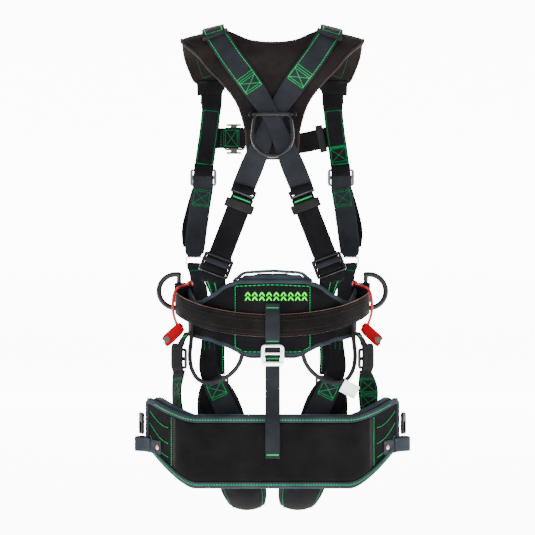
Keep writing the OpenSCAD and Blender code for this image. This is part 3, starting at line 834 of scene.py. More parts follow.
def cross_route(over):
    spots = CROSS_HIGH + [(x, t, over) for x, t in CROSS_LOW]
    return [torso(*q) for q in spots] + [Vector((57.8, 10.2, -102))]


CROSS_OUT = [torso_out(q[1], q[0]) for q in CROSS_HIGH + CROSS_LOW] + [TO_BACK]
CROSS_W = [45] * 9 + [38, 34, 38, 45, 45]


def sew_cross(box_z):
    def sew(geo, strip):
        side = math.copysign(1, strip.p[0].x)
        top = strip.near(torso(side * 114, 48, ON_PAD))
        box = strip.s[min((k for k in range(len(strip.p)) if strip.p[k].y < 60),
                          key=lambda k: abs(strip.p[k].z - box_z))]
        edge_lines(geo, strip, top, box + 14)
        cross_box(geo, strip.on, box - 14, box + 15, -17.6, 17.6, 4.2)
        seam(geo, strip.on, [(box - 19, -17.6), (box - 19, 17.6)], 2.6, 1.0)
        edge_lines(geo, strip, 6, strip.near(torso(side * 124, 120, ON_PAD)), on=strip.under)
    return sew


strap("left_cross_webbing", cross_route(OVER_STRAP), CROSS_OUT, CROSS_W, SLATE_WEB,
      replaces=["left_cross_strap"], sew=sew_cross(103), crown=0.2)
strap("right_cross_webbing", flip(cross_route(OVER_PLATE)), flip(CROSS_OUT), CROSS_W, SLATE_WEB,
      replaces=["right_cross_strap"], sew=sew_cross(119), crown=0.2)

KEEPER_D = ON_PAD + WEB_T / 2 + GAP + WEB_T


def sew_keeper(geo, strip):
    seam(geo, strip.on, [(6, -17), (strip.length - 8, -17), (strip.length - 8, 17), (6, 17)], 3.2, 0.6, 1.0)


KEEPER_LINE = [(120, 94), (119.5, 78), (119, 64), (116, 52), (113, 45)]
strap("shoulder_keeper_folds", [torso(*q, KEEPER_D) for q in KEEPER_LINE],
      [torso_out(t, x) for x, t in KEEPER_LINE], 46, BLACK_WEB, replaces=["shoulder_keepers"], thick=2.6,
      both=True, sew=sew_keeper, crown=0.5)
geo = Geo()
across = (torso(90, 48, KEEPER_D - 0.6) - torso(137, 40, KEEPER_D - 0.6)).normalized()
rod = torso(113, 43.5, KEEPER_D + 0.8)
sweep(geo, [rod + across * u for u in (-26, -25, -10, 5, 20, 25, 26)],
      lambda t: 3.8 if 0.02 < t < 0.98 else 3.0, up=torso_out(43, 112), sides=14, flat=0.95)
geo.build("shoulder_keeper_rolls", SLATE_WEB, "root", both=True)

cad(BLACK_PLASTIC, "dorsal_plate", bevel=0.9)
EYE_R, RING_WALL, HINGE_Y, HINGE_Z = 36, 6.5, 4, 42.5
geo = Geo()
bar_r = RING_WALL / 2 + 0.3
middle = EYE_R + RING_WALL / 2
path = [Vector((middle * math.sin(math.radians(a)), 0, -middle * math.cos(math.radians(a))))
        for a in range(-98, 99, 4)]
for sign in (1, -1):
    corner = [Vector((sign * x, y, z)) for x, y, z in ((38, 0.6, 16), (36.6, 1.6, 26), (35.2, 2.8, 36),
                                                       (33, 3.6, 41), (27, HINGE_Y, HINGE_Z))]
    path = path + corner if sign == 1 else list(reversed(corner)) + path
path = smooth(path, 2)
sweep(geo, path + [Vector((14, HINGE_Y, HINGE_Z)), Vector((0, HINGE_Y, HINGE_Z)),
                   Vector((-14, HINGE_Y, HINGE_Z))], bar_r, up=(0, 1, 0), sides=16, closed=True, flat=1.1)
sweep(geo, [Vector((x, HINGE_Y, HINGE_Z)) for x in (-47, -46, -20, 20, 46, 47)],
      lambda t: 3.4 if 0.02 < t < 0.98 else 2.6, up=(0, 1, 0), sides=16)
geo.build("dorsal_ring_bar", BLACK_STEEL, "dorsal_ring", ["dorsal_ring"])

# ---------------------------------------------------------------- front straps and chest strap


def sew_sleeve(boxed):
    def sew(geo, strip):
        def draw(on):
            edge_lines(geo, strip, 9, strip.length - 7, 3.6, on)
            seam(geo, on, [(9, -16), (9, 16)])
            tack(geo, on, strip.length - 7, -15.5, 15.5, 2.2)
            if boxed:
                cross_box(geo, on, strip.length - 46, strip.length - 8, -16, 16, 5)
                tack(geo, on, strip.length - 44, -15.5, 15.5, 3)
        two_sides(strip, draw)
    return sew


SLEEVE = [(127, 202, 82), (133, 210, 30), (139, 213, -10), (144, 212, -46)]
strap("right_sleeve", SLEEVE, TO_FRONT, 40, BLACK_WEB, replaces=["front_sleeves"], thick=6.6,
      sew=sew_sleeve(True), crown=0.6, thread=SHADED_THREAD)
strap("left_sleeve", flip(SLEEVE), TO_FRONT, 40, BLACK_WEB, thick=6.6,
      sew=sew_sleeve(False), crown=0.6, thread=SHADED_THREAD)
fitting("front_adjuster_frames", "front_adjusters", GREY_STEEL, (56, 36, 6, 5), 44,
        [(-8.5, 11), (8.5, 11)], frame_at((145, 211, -67)))
strap("adjuster_folds", [(143.5, 209, -40), (144.4, 207, -52), (145, 206.6, -61), (145, 207, -64)],
      TO_FRONT, 41, BLACK_WEB, thick=2.6, both=True)


def sew_front(geo, strip):
    two_sides(strip, lambda on: cross_box(geo, on, 31, 66, -16.5, 16.5))


strap("front_webbing", [(145, 206.8, -62), (145.2, 206.8, -76), (146, 208.6, -92), (152, 207, -130),
                        (158, 192, -180), (161, 166, -222), (161, 158.6, -232), (161, 157.8, -235)],
      [(0, 1, 0)] * 4 + [(0, 1, 0.4), (0, 1, 0.5), (0, 1, 0.3), (0, 1, 0.3)],
      [43, 43, 43, 43, 43, 40, 29, 27], SLATE_WEB, replaces=["front_straps"], both=True, sew=sew_front,
      thread=SHADED_THREAD, ripple=0.5)
strap("front_webbing_slack", [(150, 215, -96), (163, 218, -140), (171, 207, -180), (170, 184, -215)],
      [(0, 1, 0), (0.1, 1, 0), (0.2, 1, 0.4), (0.2, 1, 0.6)], [40, 40, 40, 34], BLACK_WEB, both=True,
      ripple=0.8)
fitting("link_ring_frames", "link_rings", SILVER, (37, 17, 4, 3.4), 30.5, [(0, 11)],
        frame_at((161, 157, -242), (0, 0.3, 1)), bevel=1.5)


def sew_hip(geo, strip):
    two_sides(strip, lambda on: tack(geo, on, 19, -9.5, 9.5))


strap("hip_webbing",
      [(161, 155, -247.5), (160.5, 151, -253), (157, 137, -275), (151, 120, -300), (149, 108, -328)],
      [(0.1, 1, 0.3), (0.1, 1, 0.4), (0.2, 1, 0.5), (0.25, 1, 0.3), (0.3, 1, 0.1)], [28, 31, 24, 37, 38],
      SLATE_WEB, replaces=["hip_tabs"], thick=3, both=True, sew=sew_hip, ripple=1.2, thread=SHADED_THREAD)

strap("chest_webbing_left", [(-136, 218, 17), (-116, 219.5, 17), (-90, 220, 17), (-56, 220, 17)],
      TO_FRONT, 43, BLACK_WEB, replaces=["left_chest_strap"], sew=lambda geo, strip: two_sides(strip,
        lambda on: (cross_box(geo, on, 34, 66, -17, 17), seam(geo, on, [(28, -17), (28, 17)]))),
      thread=SHADED_THREAD)
strap("chest_webbing_right", [(136, 218, 24), (116, 220, 19), (60, 224, 7), (0, 226, 5), (-52, 226.5, 13)],
      TO_FRONT, 43, BLACK_WEB, replaces=["right_chest_strap"])
cad(OLIVE_ALLOY, "chest_buckle", "chest_tab_upper", "chest_tab_lower", bevel=0.8)


def keeper(name, node, body, place, up, inward, w, h, hole_w, hole_t):
    """An elastic band round the webbing, with soft corners."""
    m = frame_at(place, up, inward)
    geo = Geo()
    wall = 1.8
    rings = []
    for z in (-h / 2, -h / 2 + 0.8, -h / 4, 0, h / 4, h / 2 - 0.8, h / 2):
        wide = -0.35 if abs(abs(z) - h / 2) < 0.1 else 0.0
        outside = rounded(w + 2 * wide, hole_t + 2 * wall + 2 * wide, 2.9, 5)
        rings.append([m @ Vector((x, z, y)) for x, y in outside])
    inside = [[m @ Vector((x, z, y)) for x, y in rounded(hole_w, hole_t, 1.4, 5)] for z in (h / 2, 0, -h / 2)]
    geo.grid(rings + inside, loop=True, caps=False)
    geo.build(name, ELASTIC, body, [node])


keeper("chest_keeper_band", "chest_keeper", "chest_keeper", (104, 221.1, 16), (112, -8, 24), (0, 1, 0),
       58, 15, 46, 4.4)

# ---------------------------------------------------------------- back straps and roller buckles

BACK_TOP, BACK_END = Vector((58, 9, -118)), Vector((102, -15, -234))
BACK_DIR = (BACK_END - BACK_TOP).normalized()
BUCKLE_AT = BACK_END + BACK_DIR * 20
ROLLER_R, ROLLER_DROP = 4.5, 7
ROLLER_AT = BUCKLE_AT + BACK_DIR * ROLLER_DROP
BACK_IN = (Vector((0, 1, 0)) - BACK_DIR * BACK_DIR.y).normalized()

fitting("back_clip_frames", "back_clips", BLACK_STEEL, (50, 16, 2.6, 7), 40, [(0, 5)],
        frame_at((56.5, 9.5, -108), -BACK_DIR), bevel=1.2)
strap("back_clip_folds", [Vector((54.9, 6.4, -97)), Vector((55.9, 4, -100.5)), Vector((57, 2.2, -106)),
      Vector((57.9, 2.4, -110.2)), Vector((58.2, 4.4, -112.4))], TO_BACK, [42, 43, 43, 43, 42], BLACK_CLOTH,
      thick=3, slot="webbing_black", both=True, crown=0.6)
geo = Geo()
side = BACK_DIR.cross(TO_BACK).normalized()
sweep(geo, [Vector((58.3, 1.9, -112.6)) + side * u for u in (-21, -20, -10, 0, 10, 20, 21)], 1.3,
      up=TO_BACK, sides=10)
geo.build("back_clip_bars", DARK_STEEL, "root", both=True)
WRAP = Vector((0, 1.6, 0))
strap("back_clip_wraps", [BACK_TOP + WRAP - BACK_DIR * at for at in (8, 3.5, -1.3)],
      TO_BACK, 41, BLACK_WEB, thick=1.4, both=True)
strap("back_webbing", [BACK_TOP, mix(BACK_TOP, BACK_END, 0.5), BACK_END], TO_BACK, 45, BLACK_WEB,
      replaces=["back_straps"], both=True, crown=0.2,
      sew=lambda geo, strip: tack(geo, strip.on, 5.5, -18, 18, 3.2, 0.7))
for side, sign in (("right", 1), ("left", -1)):
    place, direction = BACK_TOP + BACK_DIR * 20, BACK_DIR.copy()
    place.x *= sign
    direction.x *= sign
    keeper(side + "_back_keeper_band", side + "_back_keeper", side + "_back_keeper", place, -direction,
           (0, 1, 0), 58, 17, 46.5, 4.4)
fitting("roller_buckle_frames", "roller_buckles", BLACK_STEEL, (60, 38, 4, 8), 48,
        [(-ROLLER_DROP, 18.5), (10.5, 7)], frame_at(BUCKLE_AT, -BACK_DIR), bevel=1.6)
cad(BLACK_STEEL, "left_roller", "right_roller", bevel=0.4)


def along_back(s, lift):
    return BACK_END + BACK_DIR * s - BACK_IN * lift


strap("back_webbing_ends", [along_back(s, lift)
                            for s, lift in ((-2, -0.2), (2, -4.6), (6, -5), (9.2, -0.5), (11.5, 4.6),
                                            (15, 5.9), (19, 5.2), (21.6, 1.6))], -BACK_IN, 47.6,
      SLATE_WEB, thick=2, both=True)


def wrap(a):
    r = ROLLER_R + 0.5 + 1.1
    a = math.radians(a)
    return ROLLER_AT - BACK_DIR * (r * math.sin(a)) + BACK_IN * (r * math.cos(a))


def wrap_out(a):
    a = math.radians(a)
    return BACK_IN * math.cos(a) - BACK_DIR * math.sin(a)


strap("waist_webbing",
      [waist(43, -322, -9), waist(43, -306, -8.5), (111, 4, -288),
       wrap(0) + BACK_DIR * 12 + BACK_IN * 1.5, wrap(0) + BACK_DIR * 4 + BACK_IN * 0.6,
       *[wrap(a) for a in (0, 45, 90, 135, 180)], wrap(180) + BACK_DIR * 4, wrap(180) + BACK_DIR * 8],
      [(-0.68, 0.73, 0), (-0.68, 0.73, 0), (-0.4, 0.9, 0),
       *[wrap_out(a) for a in (0, 0, 0, 45, 90, 135, 180, 180, 180)]],
      [44] * 3 + [47.4] * 9, BLACK_WEB, replaces=["waist_straps"], both=True,
      sew=lambda geo, strip: [seam(geo, strip.under, [(4, u), (end, u + 2), (4, u + 3)], 2.6, 0.7)
                              for u, end in ((-17, 46), (-3, 40), (11, 26))])


# ---------------------------------------------------------------- waist pad and belt

WAIST_TOP = [(0, -281), (21, -281), (30, -287), (45, -310), (56, -323), (66, -324), (78, -309), (90, -293),
             (100, -295)]
WAIST_BOTTOM = [(0, -425), (18, -425), (33, -409), (48, -399), (68, -395), (90, -392), (100, -388)]
LUMBAR_TOP = [(0, -263), (20, -266), (28, -281)]
LUMBAR_BOTTOM = [(0, -428), (16, -429), (22, -424), (28, -412)]


def waist_pad(end, top, bottom, middle, thick, step=2.0, power=8):
    count = int(2 * end / step)

    def place(i, w, d):
        phi = -end + 2 * end * i / count
        return waist(phi, mix(table(abs(phi), bottom), table(abs(phi), top), w), middle + d)
    geo = Geo()
    pillow(geo, place, count + 1, thick, across=18, power=power, ends=2)
    return geo


def waist_loop(end, top, bottom, inset=0.0, step=3.0):
    """The edge of a waist piece as (phi, z) pairs, set in from its rim."""
    count = int(2 * end / step)
    turn = inset / 3
    spots = [-end + turn + 2 * (end - turn) * i / count for i in range(count + 1)]
    upper = [(phi, table(abs(phi), top) - inset) for phi in spots]
    lower = [(phi, table(abs(phi), bottom) + inset) for phi in reversed(spots)]
    ends = []
    for a, b in ((upper[-1], lower[0]), (lower[-1], upper[0])):
        ends.append([(a[0], mix(a[1], b[1], k / 6)) for k in range(1, 6)])
    return upper + ends[0] + lower + ends[1]


pad("lumbar_pad", waist_pad(28, LUMBAR_TOP, LUMBAR_BOTTOM, -8, 11.5, 1.5), SLATE_PAD, "root",
    ["lumbar_cushion"], cap=3.0)
pad("waist_pad", waist_pad(100, WAIST_TOP, WAIST_BOTTOM, 1.5, 5.8), BLACK_CLOTH, "root",
    ["waist_shell"])
loop = waist_loop(99.6, WAIST_TOP, WAIST_BOTTOM, 3.2)
binding("waist_binding", [waist(phi, z, 1.5) for phi, z in loop], [waist_out(phi) for phi, z in loop],
        SLATE_EDGE, wide=4.6, high=3.9)
loop = waist_loop(27.6, LUMBAR_TOP, LUMBAR_BOTTOM)
binding("lumbar_binding", [waist(phi, z, -8) for phi, z in loop], [waist_out(phi) for phi, z in loop],
        SLATE_EDGE, wide=3.0, high=6.2)


def on_waist(d):
    return lambda phi, z, lift: waist(phi, z, d + lift)


def close(loop):
    return loop + loop[:1]


PANEL_TOP, PANEL_BOTTOM = [(0, -287), (25, -290)], [(0, -421), (18, -421), (25, -412)]
pad("lumbar_cover", waist_pad(25, PANEL_TOP, PANEL_BOTTOM, 5.4, 2.0, 1.5, 10), BLACK_CLOTH, "root",
    ["lumbar_panel"])
geo = Geo()
seam(geo, on_waist(6.4), close(waist_loop(25.5, PANEL_TOP, PANEL_BOTTOM, 2.5)), 3.6, 1.0, 0.75)
geo.build("lumbar_stitching", THREAD, "root")
geo = Geo()
for k in range(9):
    phi = -16 + 4.6 * k
    for low in (-320, -311.5):
        a, b, c = waist(phi - 1.7, low, 6.9), waist(phi, low + 8, 6.9), waist(phi + 1.7, low, 6.9)
        dash(geo, a, b, waist_out(phi), 1.5)
        dash(geo, b, c, waist_out(phi), 1.5)
geo.build("lumbar_chevrons", BRIGHT_THREAD, "root")

BELT_END, BELT_H, BELT_T = 80, 43, 4


def belt_z(phi):
    return -368 + 49 * (1 - math.cos(math.radians(phi)))


def belt_at(phi, u, lift=0.0):
    return waist(phi, belt_z(phi) + u, 10 + 20 * (abs(phi) / BELT_END) ** 2 + lift)


geo = Geo()
rings, uvs = [], []
for i in range(97):
    e = -1 + 2 * i / 96
    phi = BELT_END * e
    close_in = 1 - max(abs(e) - 0.985, 0) * 8
    rings.append([belt_at(phi, y, z) for y, z in rounded(BELT_H * close_in, BELT_T, 1.3, 4)])
    uvs.append([(0, 0)] * len(rings[0]))
geo.grid(rings, uvs)
geo.build("belt_leather", LEATHER, "root", ["belt"])
geo = Geo()
for edge in (1, -1):
    sweep(geo, [belt_at(phi, edge * (BELT_H / 2 - 0.2), 0.2) for phi in range(-79, 80, 2)],
          1.1 if edge == 1 else 0.7, up=(0, 0, 1), sides=8, flat=0.55)
geo.build("belt_raw_edge", TAN, "root")
geo = Geo()
for u in (BELT_H / 2 - 4.5, -BELT_H / 2 + 4.5, BELT_H / 2 - 12, -BELT_H / 2 + 12):
    seam(geo, lambda phi, y, lift: belt_at(phi, y, BELT_T / 2 + lift),
         [(phi, u) for phi in range(-78, 79, 4)], 3.4, 1.4, 0.5)
geo.build("belt_stitching", DULL_THREAD, "root")


def loop_y(d):
    return WAIST_Y - WAIST_B - d


def sew_loop(geo, strip):
    for s in (9, strip.length - 8):
        tack(geo, strip.on, s, -11.5, 11.5)


strap("belt_loop_webbing", [(0, loop_y(8.2), -325), (0, loop_y(8.4), -334), (0, loop_y(14), -344),
      (0, loop_y(15.5), -356), (0, loop_y(15.5), -380), (0, loop_y(14), -392), (0, loop_y(9.5), -400),
      (0, loop_y(8.3), -404.5)], TO_BACK, 28, SLATE_WEB, replaces=["belt_loop"], thick=2,
      sew=sew_loop)


def round_waist(first, last, step, z, d):
    spots = range(first, last + 1, step)
    return [waist(phi, z, d) for phi in spots], [waist_out(phi) for phi in spots]


route, out = round_waist(106, 172, 11, -350, 0)
strap("front_belt_webbing", route, out, 43, BLACK_WEB, replaces=["front_belt"], thick=3, both=True,
      sew=lambda geo, strip: two_sides(strip,
                                       lambda on: edge_lines(geo, strip, 6, strip.length - 30, 4.5, on)))
fitting("front_buckle_frame", "front_buckle", GREY_STEEL, (36, 58, 5, 6), 24, [(-12, 18), (12, 18)],
        frame_at((0, 236, -350)), both=False, bevel=1.6)

# ---------------------------------------------------------------- side rings and their webbing

SIDE_RING = Vector((188, 85, -304))
cad(BLACK_STEEL, "left_side_ring", "right_side_ring", bevel=0)
geo = Geo()
m = frame_at(SIDE_RING, (0, 0, 1), (0, 1, 0))
for bottom, top in ((-23, -9.9), (-10, 3.4), (3.3, 17)):
    rings = []
    for z, grow in ((bottom, -1.1), (bottom + 1.2, 0), (top - 1.2, 0), (top, -1.1)):
        rings.append([m @ Vector((x, z, y))
                      for x, y in rounded(25.6 + 2 * grow, 16 + 2 * grow, 6.2, 5, (-3.8, 0))])
    inside = [[m @ Vector((4.9 * math.cos(a), z, 4.9 * math.sin(a)))
               for a in [2 * math.pi * k / len(rings[0]) for k in range(len(rings[0]))]]
              for z in (top - 0.4, bottom + 0.4)]
    geo.grid(rings + inside, loop=True, caps=False)
geo.build("ring_holder_webbing", BLACK_WEB, "root", ["ring_holders"], both=True)
strap("red_bands", [(166, 56, -290), (180, 54, -293), (192, 51, -301), (197, 49, -320), (197, 49, -345),
      (192, 52, -364), (188, 54.5, -371), (185, 56.5, -375)],
      [(0.3, -0.3, 1), (0.5, -0.3, 0.9), (0.8, -0.4, 0.5), (1, -0.5, 0), (1, -0.5, 0), (1, -0.5, -0.2),
       (0.8, -0.7, -0.3), (0.6, -0.8, -0.3)], 12, RED_WEB,
      replaces=["red_loops"], thick=1.8, both=True)
strap("red_folds", [(158, 40, -290), (162, 37, -284), (167, 36, -288)],
      [(-0.5, -0.4, 0.8), (0, -0.4, 0.8), (0.6, -0.4, 0.7)], 12, RED_WEB, thick=1.8, both=True)
strap("red_tab_webbing",
      [(181, 57, -369), (186, 56.6, -375), (200, 56.6, -388), (211, 57.4, -398), (216, 58.5, -402)],
      TO_BACK, [10, 16, 17, 17, 13], RED_WEB, replaces=["red_tabs"], thick=6, both=True, crown=0.7)
strap("red_tab_loops",
      [(178, 59, -377), (184, 58.8, -384), (197, 58.8, -396), (208, 58.8, -406), (213, 59, -411)],
      TO_BACK, [7, 12, 13, 13, 9], RED_WEB, thick=5, both=True, crown=0.7)
strap("ring_holder_tapes", [(177, 89, -305), (168, 88, -305), (158, 84, -305)], TO_BACK, 34, BLACK_WEB,
      thick=2, both=True)
cad(OLIVE_ALLOY, "tab_snaps", bevel=0.4)

GEAR = vectors([(57.5, -30.5, -416), (60, -31, -430), (66, -32, -444), (78, -31, -459), (98, -26, -473),
                (122, -18, -480), (144, -7, -474), (158, 12, -455), (163, 30, -430), (161, 42, -401),
                (160, 46, -382), (159.5, 47, -366)])
for side in ("right", "left"):
    geo = Geo()
    sweep(geo, smooth(GEAR if side == "right" else flip(GEAR), 8), 4.2, up=(0, 1, 0), sides=16)
    geo.build(side + "_gear_tube", RUBBER, "root", [side + "_gear_loop"])

geo = Geo()
lean = math.radians(28)
rings = []
for k in range(9):
    u = -16 + 4 * k
    curl = 1.4 * math.sin(k * 0.7)
    rings.append([Vector((149 + u * math.cos(lean) + w * math.sin(lean), -17 + curl + t,
                          -492 - u * math.sin(lean) + w * math.cos(lean))) for w, t in ((-13, -0.4),
            (-13, 0.4), (0, 0.4 + 0.5), (13, 0.4), (13, -0.4), (0, -0.4 + 0.5))])
geo.grid(rings)
geo.build("care_label_cloth", LABEL, "root", ["care_label"])

fitting("centre_buckle_frame", "centre_buckle", SILVER, (44, 41, 7, 4.5), 29.5,
        [(10.5, 10), (-5.5, 13)], frame_at((0, -50.5, -424.5)), both=False, bevel=1.7)

# ---------------------------------------------------------------- seat

SEAT_HALF, PANEL_HALF, SEAT_PAD_T = 247, 190, 18
SEAT_STEP = 8.0


def seat_pad(half, middle, thick, lower, upper, power):
    count = int(2 * half / SEAT_STEP)

    def place(i, w, d):
        x = -half + 2 * half * i / count
        return seat(x, mix(seat_bottom(x) + lower, seat_top(x) - upper, w), middle + d)
    geo = Geo()
    pillow(geo, place, count + 1, thick, across=22, power=power, ends=2)
    return geo


def seat_loop(half, lower, upper, round_off=10):
    """The edge of a seat piece as (x, z) pairs, with round corners."""
    count = int(2 * half / SEAT_STEP)
    top = [(x, seat_top(x) - upper) for x in (-half + 2 * half * i / count for i in range(count + 1))]
    bottom = [(x, seat_bottom(x) + lower) for x, z in reversed(top)]
    upright = []
    for a, b in ((top[-1], bottom[0]), (bottom[-1], top[0])):
        upright.append([(a[0], mix(a[1], b[1], k / 10)) for k in range(1, 10)])
    loop = top + upright[0] + bottom + upright[1]
    corners = []
    for x, z in loop:
        near_end = max(abs(x) - (half - round_off), 0)
        cut = round_off - math.sqrt(max(round_off ** 2 - near_end ** 2, 0))
        corners.append((x, min(max(z, seat_bottom(x) + lower + cut), seat_top(x) - upper - cut)))
    return corners


def on_seat(d):
    return lambda x, z, lift: seat(x, z, d + lift)


cushion_middle = -2.4 - 0.5 - 3 - 0.5 - SEAT_PAD_T / 2
pad("seat_inner_pad", seat_pad(SEAT_HALF - 4, cushion_middle, SEAT_PAD_T - 2, 0, 0, power=6), SLATE_PAD,
    "seat", ["seat_cushion"], cap=4.0)
pad("seat_outer_cover", seat_pad(SEAT_HALF, -1.2, 2.6, 4, 4, power=10), BLACK_CLOTH, "seat",
    ["seat_cover"])
loop = seat_loop(SEAT_HALF - 1, 5, 5)
binding("seat_edge_binding", [seat(x, z, -0.6) for x, z in loop], [seat_out(x) for x, z in loop],
        SLATE_EDGE, "seat", wide=5.2, high=2.6)
loop = seat_loop(SEAT_HALF - 4, 1, 1)
binding("seat_pad_binding", [seat(x, z, cushion_middle) for x, z in loop], [seat_out(x) for x, z in loop],
        SLATE_EDGE, "seat", wide=3.0, high=9.0)
pad("seat_leather_panel", seat_pad(PANEL_HALF, 1.4, 2.0, 14, 13, power=12), SEAT_SKIN, "seat",
    ["seat_panel"])
cad(BLACK_PLASTIC, "seat_board")

spots = [-243 + 486 * k / 30 for k in range(31)]
for name, edge, inset in (("top", seat_top, -7), ("bottom", seat_bottom, 7.5)):
    strap("seat_tape_" + name, [seat(x, edge(x) + inset, 1.9) for x in spots],
          [seat_out(x) for x in spots], 10, SLATE_EDGE, "seat", thick=1.5, n=2,
          sew=lambda geo, strip: seam(geo, strip.on, [(s, 0) for s in strip.s[2:-2:2]], 3.4, 1.3, 0.8))
geo = Geo()
for x in (-PANEL_HALF - 3, PANEL_HALF + 3):
    seam(geo, on_seat(0.3), [(x, seat_bottom(x) + 15), (x, seat_top(x) - 15)], 3.2, 1.2, 0.8)
for sign in (-1, 1):
    for start, end in ((0.72, 0.80), (0.42, 0.52), (0.16, 0.22)):
        points = []
        for k in range(9):
            w = k / 8
            x = mix(199, 239, w)
            share = mix(start, end, w ** 1.6) - 0.05 * math.sin(math.pi * w)
            points.append((sign * x, mix(seat_bottom(x) + 10, seat_top(x) - 10, min(max(share, 0), 1))))
        seam(geo, on_seat(0.3), points, 3.2, 0.9, 0.65)
geo.build("seat_stitching", THREAD, "seat")

SEAT_LOOP = [seat(236, -603, 3), seat(246, -603, 4), (268, 20, -603), (269, 34, -603), (256, 40, -603),
             (238, 22, -603)]
strap("seat_side_loops", SEAT_LOOP, [(0.87, -0.5, 0), (0.87, -0.5, 0), (0.95, -0.3, 0), (0.9, 0.5, 0),
                                     (-0.3, 0.95, 0), (-0.8, 0.6, 0)], 28, SLATE_TAPE, "seat",
      replaces=["seat_loops"], both=True)
strap("seat_rivet_patches", [seat(214, -604, 1.0), seat(221, -604, 1.2), seat(236, -604, 1.6)],
      [seat_out(213), seat_out(221), seat_out(236)], 27, SLATE_TAPE, "seat", thick=1.4, both=True)
geo = Geo()
lathe(geo, [(4.6, 0), (4.6, 0.5), (4.2, 1.1), (3.1, 1.5), (2.5, 1.6), (2.4, 2.1), (2.0, 2.5), (1.2, 2.75),
            (0.3, 2.8)], seat(221, -604, 1.7), seat_out(221))
geo.build("seat_rivet_caps", COPPER, "seat", ["seat_rivets"], both=True)
fitting("seat_clip_frames", "seat_clips", BLACK_PLASTIC, (20, 42, 4, 5), 10, [(-7, 20)],
        frame_at(seat(252, -562, 6), (0, 0, 1), (-0.9, 0.45, 0)), "seat", bevel=1.4)


def sew_centre(geo, strip):
    tack(geo, strip.on, strip.length - 7, -11.5, 11.5, 3.2)
    tack(geo, strip.on, 22, -11.5, 11.5)


SEAT_HANG = ((0, -54, -438), (0, -78, -560))
strap("centre_webbing", [(0, -45.6, -409), (0, -45.8, -440), (0, -52, -480), (0, -66, -520), (0, -79.6, -545),
      (0, -82.4, -566), (0, -82.4, -617)], TO_BACK, 28, SLATE_WEB, replaces=["centre_strap"],
      thick=2, sew=sew_centre, blend=("root", "seat", *SEAT_HANG))

# ---------------------------------------------------------------- side straps and their buckles

SIDE_TOP = Vector((183, 10, -460))
JOIN_D = -(SEAT_PAD_T + 14.6)
JOIN, FOOT = seat(206, -541, JOIN_D), seat(206, -561, JOIN_D)
SIDE_ROUTE = [SIDE_TOP, mix(SIDE_TOP, JOIN, 0.5) + Vector((4, 0, 0)), JOIN, FOOT]


def sew_side(geo, strip):
    def draw(on):
        for s in (14, 47):
            cross_box(geo, on, s, s + 30, -16, 16, 3)
    two_sides(strip, draw)


SIDE_HANG = ((190, 10, -450), (200, -20, -545))
strap("side_webbing_right", SIDE_ROUTE, [(0.75, -0.65, 0), (0.25, -1, 0), seat_out(206), seat_out(206)],
      41, BLACK_WEB, replaces=["side_straps"], sew=sew_side, thread=SHADED_THREAD,
      blend=("root", "seat", *SIDE_HANG))
strap("side_webbing_left", flip(SIDE_ROUTE),
      [(-0.75, -0.65, 0), (-0.85, -0.5, 0), (-0.85, -0.55, 0), seat_out(-206)], 41, BLACK_WEB,
      sew=sew_side, thread=SHADED_THREAD, blend=("root", "seat", *SIDE_HANG))
SIDE_FACE = Vector((0.75, -0.65, 0)).normalized()
fitting("side_buckle_frames", "side_buckles", BLACK_STEEL, (48, 40, 6, 5), 38, [(-9, 11), (9, 11)],
        frame_at((183, 12, -434), (0, 0, 1), SIDE_FACE))


def by_side_buckle(z, lift):
    return Vector((183, 12, z)) + SIDE_FACE * lift


strap("side_buckle_folds", [by_side_buckle(*q)
                            for q in ((-406, 1), (-412, 4.6), (-434, 4.9), (-452, 4.6), (-459, 1.6),
                                      (-464, 0.4))], SIDE_FACE, 37, BLACK_WEB, both=True)
strap("side_buckle_webbing", [(166, 30, -384), (176, 22, -398), (182, 14, -411)],
      [(1, -0.6, 0.2), (1, -0.5, 0.3), (0.8, -0.6, 0.1)], 30, BLACK_WEB, both=True,
      sew=lambda geo, strip: tack(geo, strip.on, 12, -12, 12))

# ---------------------------------------------------------------- leg loops

LEG_ROUTE = [(116, 6, -480), (107, 3, -520), (92, 0, -580), (71, 6, -640), (55, 30, -706), (51, 88, -741),
             (56, 144, -708), (79, 180, -640), (104, 200, -575), (114, 206, -534)]
LEG_OUT = [(0, -1, 0), (0, -1, 0), (0, -1, -0.05), (0, -1, -0.3), (0, -0.7, -0.7), (0, 0, -1), (0, 0.7, -0.7),
           (0, 1, -0.3), (0, 1, 0), (0, 1, 0)]
LEG_CUP = 9
LEG_W = [52, 82, 95, 95, 87, 70, 84, 85, 62, 50]
RISER = [waist(52, -384, -7), waist(52, -404, -6.5), (127, 7, -450), (114, -5.8, -482), (99, -8.2, -514),
         (78, -10.2, -560)]
RISER_OUT = [(-0.79, 0.61, 0), (-0.7, 0.7, 0), (-0.3, 0.95, 0), (-0.1, 1, 0), (0, 1, 0), (0, 1, 0)]
FRONT_LEG = [(120, 206, -482), (121, 203, -440), (119, 192, -400), (118, 182, -366)]
FRONT_LEG_OUT = [(0, 1, 0), (0, 1, 0), (0.3, 0.95, 0), (0.62, 0.78, 0)]


def sew_riser(geo, strip):
    middle = strip.s[min(range(len(strip.p)), key=lambda k: abs(strip.p[k].z + 492))]
    two_sides(strip, lambda on: cross_box(geo, on, middle - 15, middle + 16, -15.5, 15.5, 4))


def sew_riser_top(geo, strip):
    for u in (-7, 6):
        seam(geo, strip.under, [(6, u), (32, u)], 2.8, 0.9, 0.65)


def curved(strip, on):
    """The cupped surface of a leg pad, on its outer or inner face."""
    sign = 1 if on == strip.on else -1
    return lambda s, u, lift: on(s, u,
                                 lift - 0.2 - sign * strip.cupped(s, LEG_CUP) * (u / strip.half(s)) ** 2)


def leg_edges(strip, inset):
    lines = []
    for sign in (-1, 1):
        lines.append([(s, sign * (w / 2 - inset)) for s, w in list(zip(strip.s, strip.w))[3:-3:3]])
    return lines


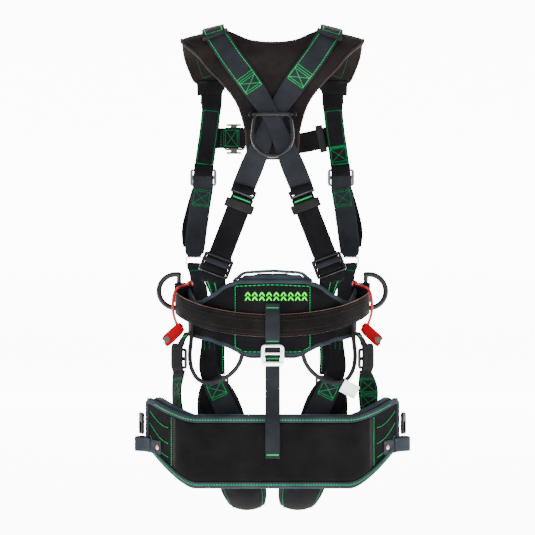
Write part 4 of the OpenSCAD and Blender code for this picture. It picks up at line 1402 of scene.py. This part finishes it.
for side, turn in (("right", vectors), ("left", flip)):
    leg = side + "_leg"
    strip = Strip(turn(LEG_ROUTE), turn(LEG_OUT), LEG_W, 10)
    geo = Geo()
    strip.pillow(geo, power=7, cup=LEG_CUP)
    pad(leg + "_cushion", geo, BLACK_CLOTH, leg, [leg + "_pad"], cap=3.0)
    route, ups = [], []
    for sign in (-1, 1):
        spots = list(zip(strip.s, strip.w))[::2]
        if sign == 1:
            spots = list(reversed(spots))
        for s, w in spots:
            near_end = max(14 - min(s, strip.length - s), 0) / 14
            half = w / 2 * (1 - 0.12 * near_end ** 2) - 0.8
            route.append(strip.at(s, sign * (half - 2.4), -strip.cupped(s, LEG_CUP)))
            ups.append(strip.at(s, sign * half, 1) - strip.at(s, sign * half))
    binding(leg + "_binding", route, ups, PAD_EDGE, leg, wide=3.4, high=4.2)
    geo = Geo()
    for on in (strip.on, strip.under):
        for points in leg_edges(strip, 8.0):
            seam(geo, curved(strip, on), points, 3.4, 1.0, 0.65)
        for s in (strip.length * 0.30, strip.length * 0.5, strip.length * 0.58):
            seam(geo, curved(strip, on), [(s, -30), (s + 3, 0), (s, 30)], 3.4, 1.0, 0.65)
    geo.build(leg + "_stitching", SHADED_THREAD, leg)
    strap(leg + "_riser_webbing", turn(RISER), turn(RISER_OUT), [36, 36, 36, 42, 44, 44], SLATE_WEB,
          replaces=[leg + "_riser"], sew=sew_riser,
          blend=("root", leg, (0, 20, -395), (0, 0, -478)))
    strap(leg + "_riser_cover",
          turn([waist(52, -386, -4.8), waist(52, -404, -4.3), (126.3, 4.8, -450), (119.5, -5.6, -472)]),
          turn(RISER_OUT[:4]), [37, 37, 38, 31], BLACK_WEB, thick=2, sew=sew_riser_top, thread=SHADED_THREAD,
          blend=("root", leg, (0, 20, -395), (0, 0, -478)))
    strap(leg + "_front_webbing", turn(FRONT_LEG), turn(FRONT_LEG_OUT), 42, BLACK_WEB,
          replaces=[leg + "_front_strap"], sew=lambda geo, strip: two_sides(strip,
            lambda on: (edge_lines(geo, strip, 6, strip.length - 8, 4.5, on),
                        tack(geo, on, strip.length - 16, -16, 16))),
          blend=("root", leg, (0, 186, -380), (0, 204, -470)))
    place = frame_at((119 if side == "right" else -119, 207, -503))
    fitting(leg + "_buckle_frame", leg + "_buckle", GREY_STEEL, (56, 40, 5, 6), 45, [(-9, 12), (9, 12)],
            place, leg, both=False)
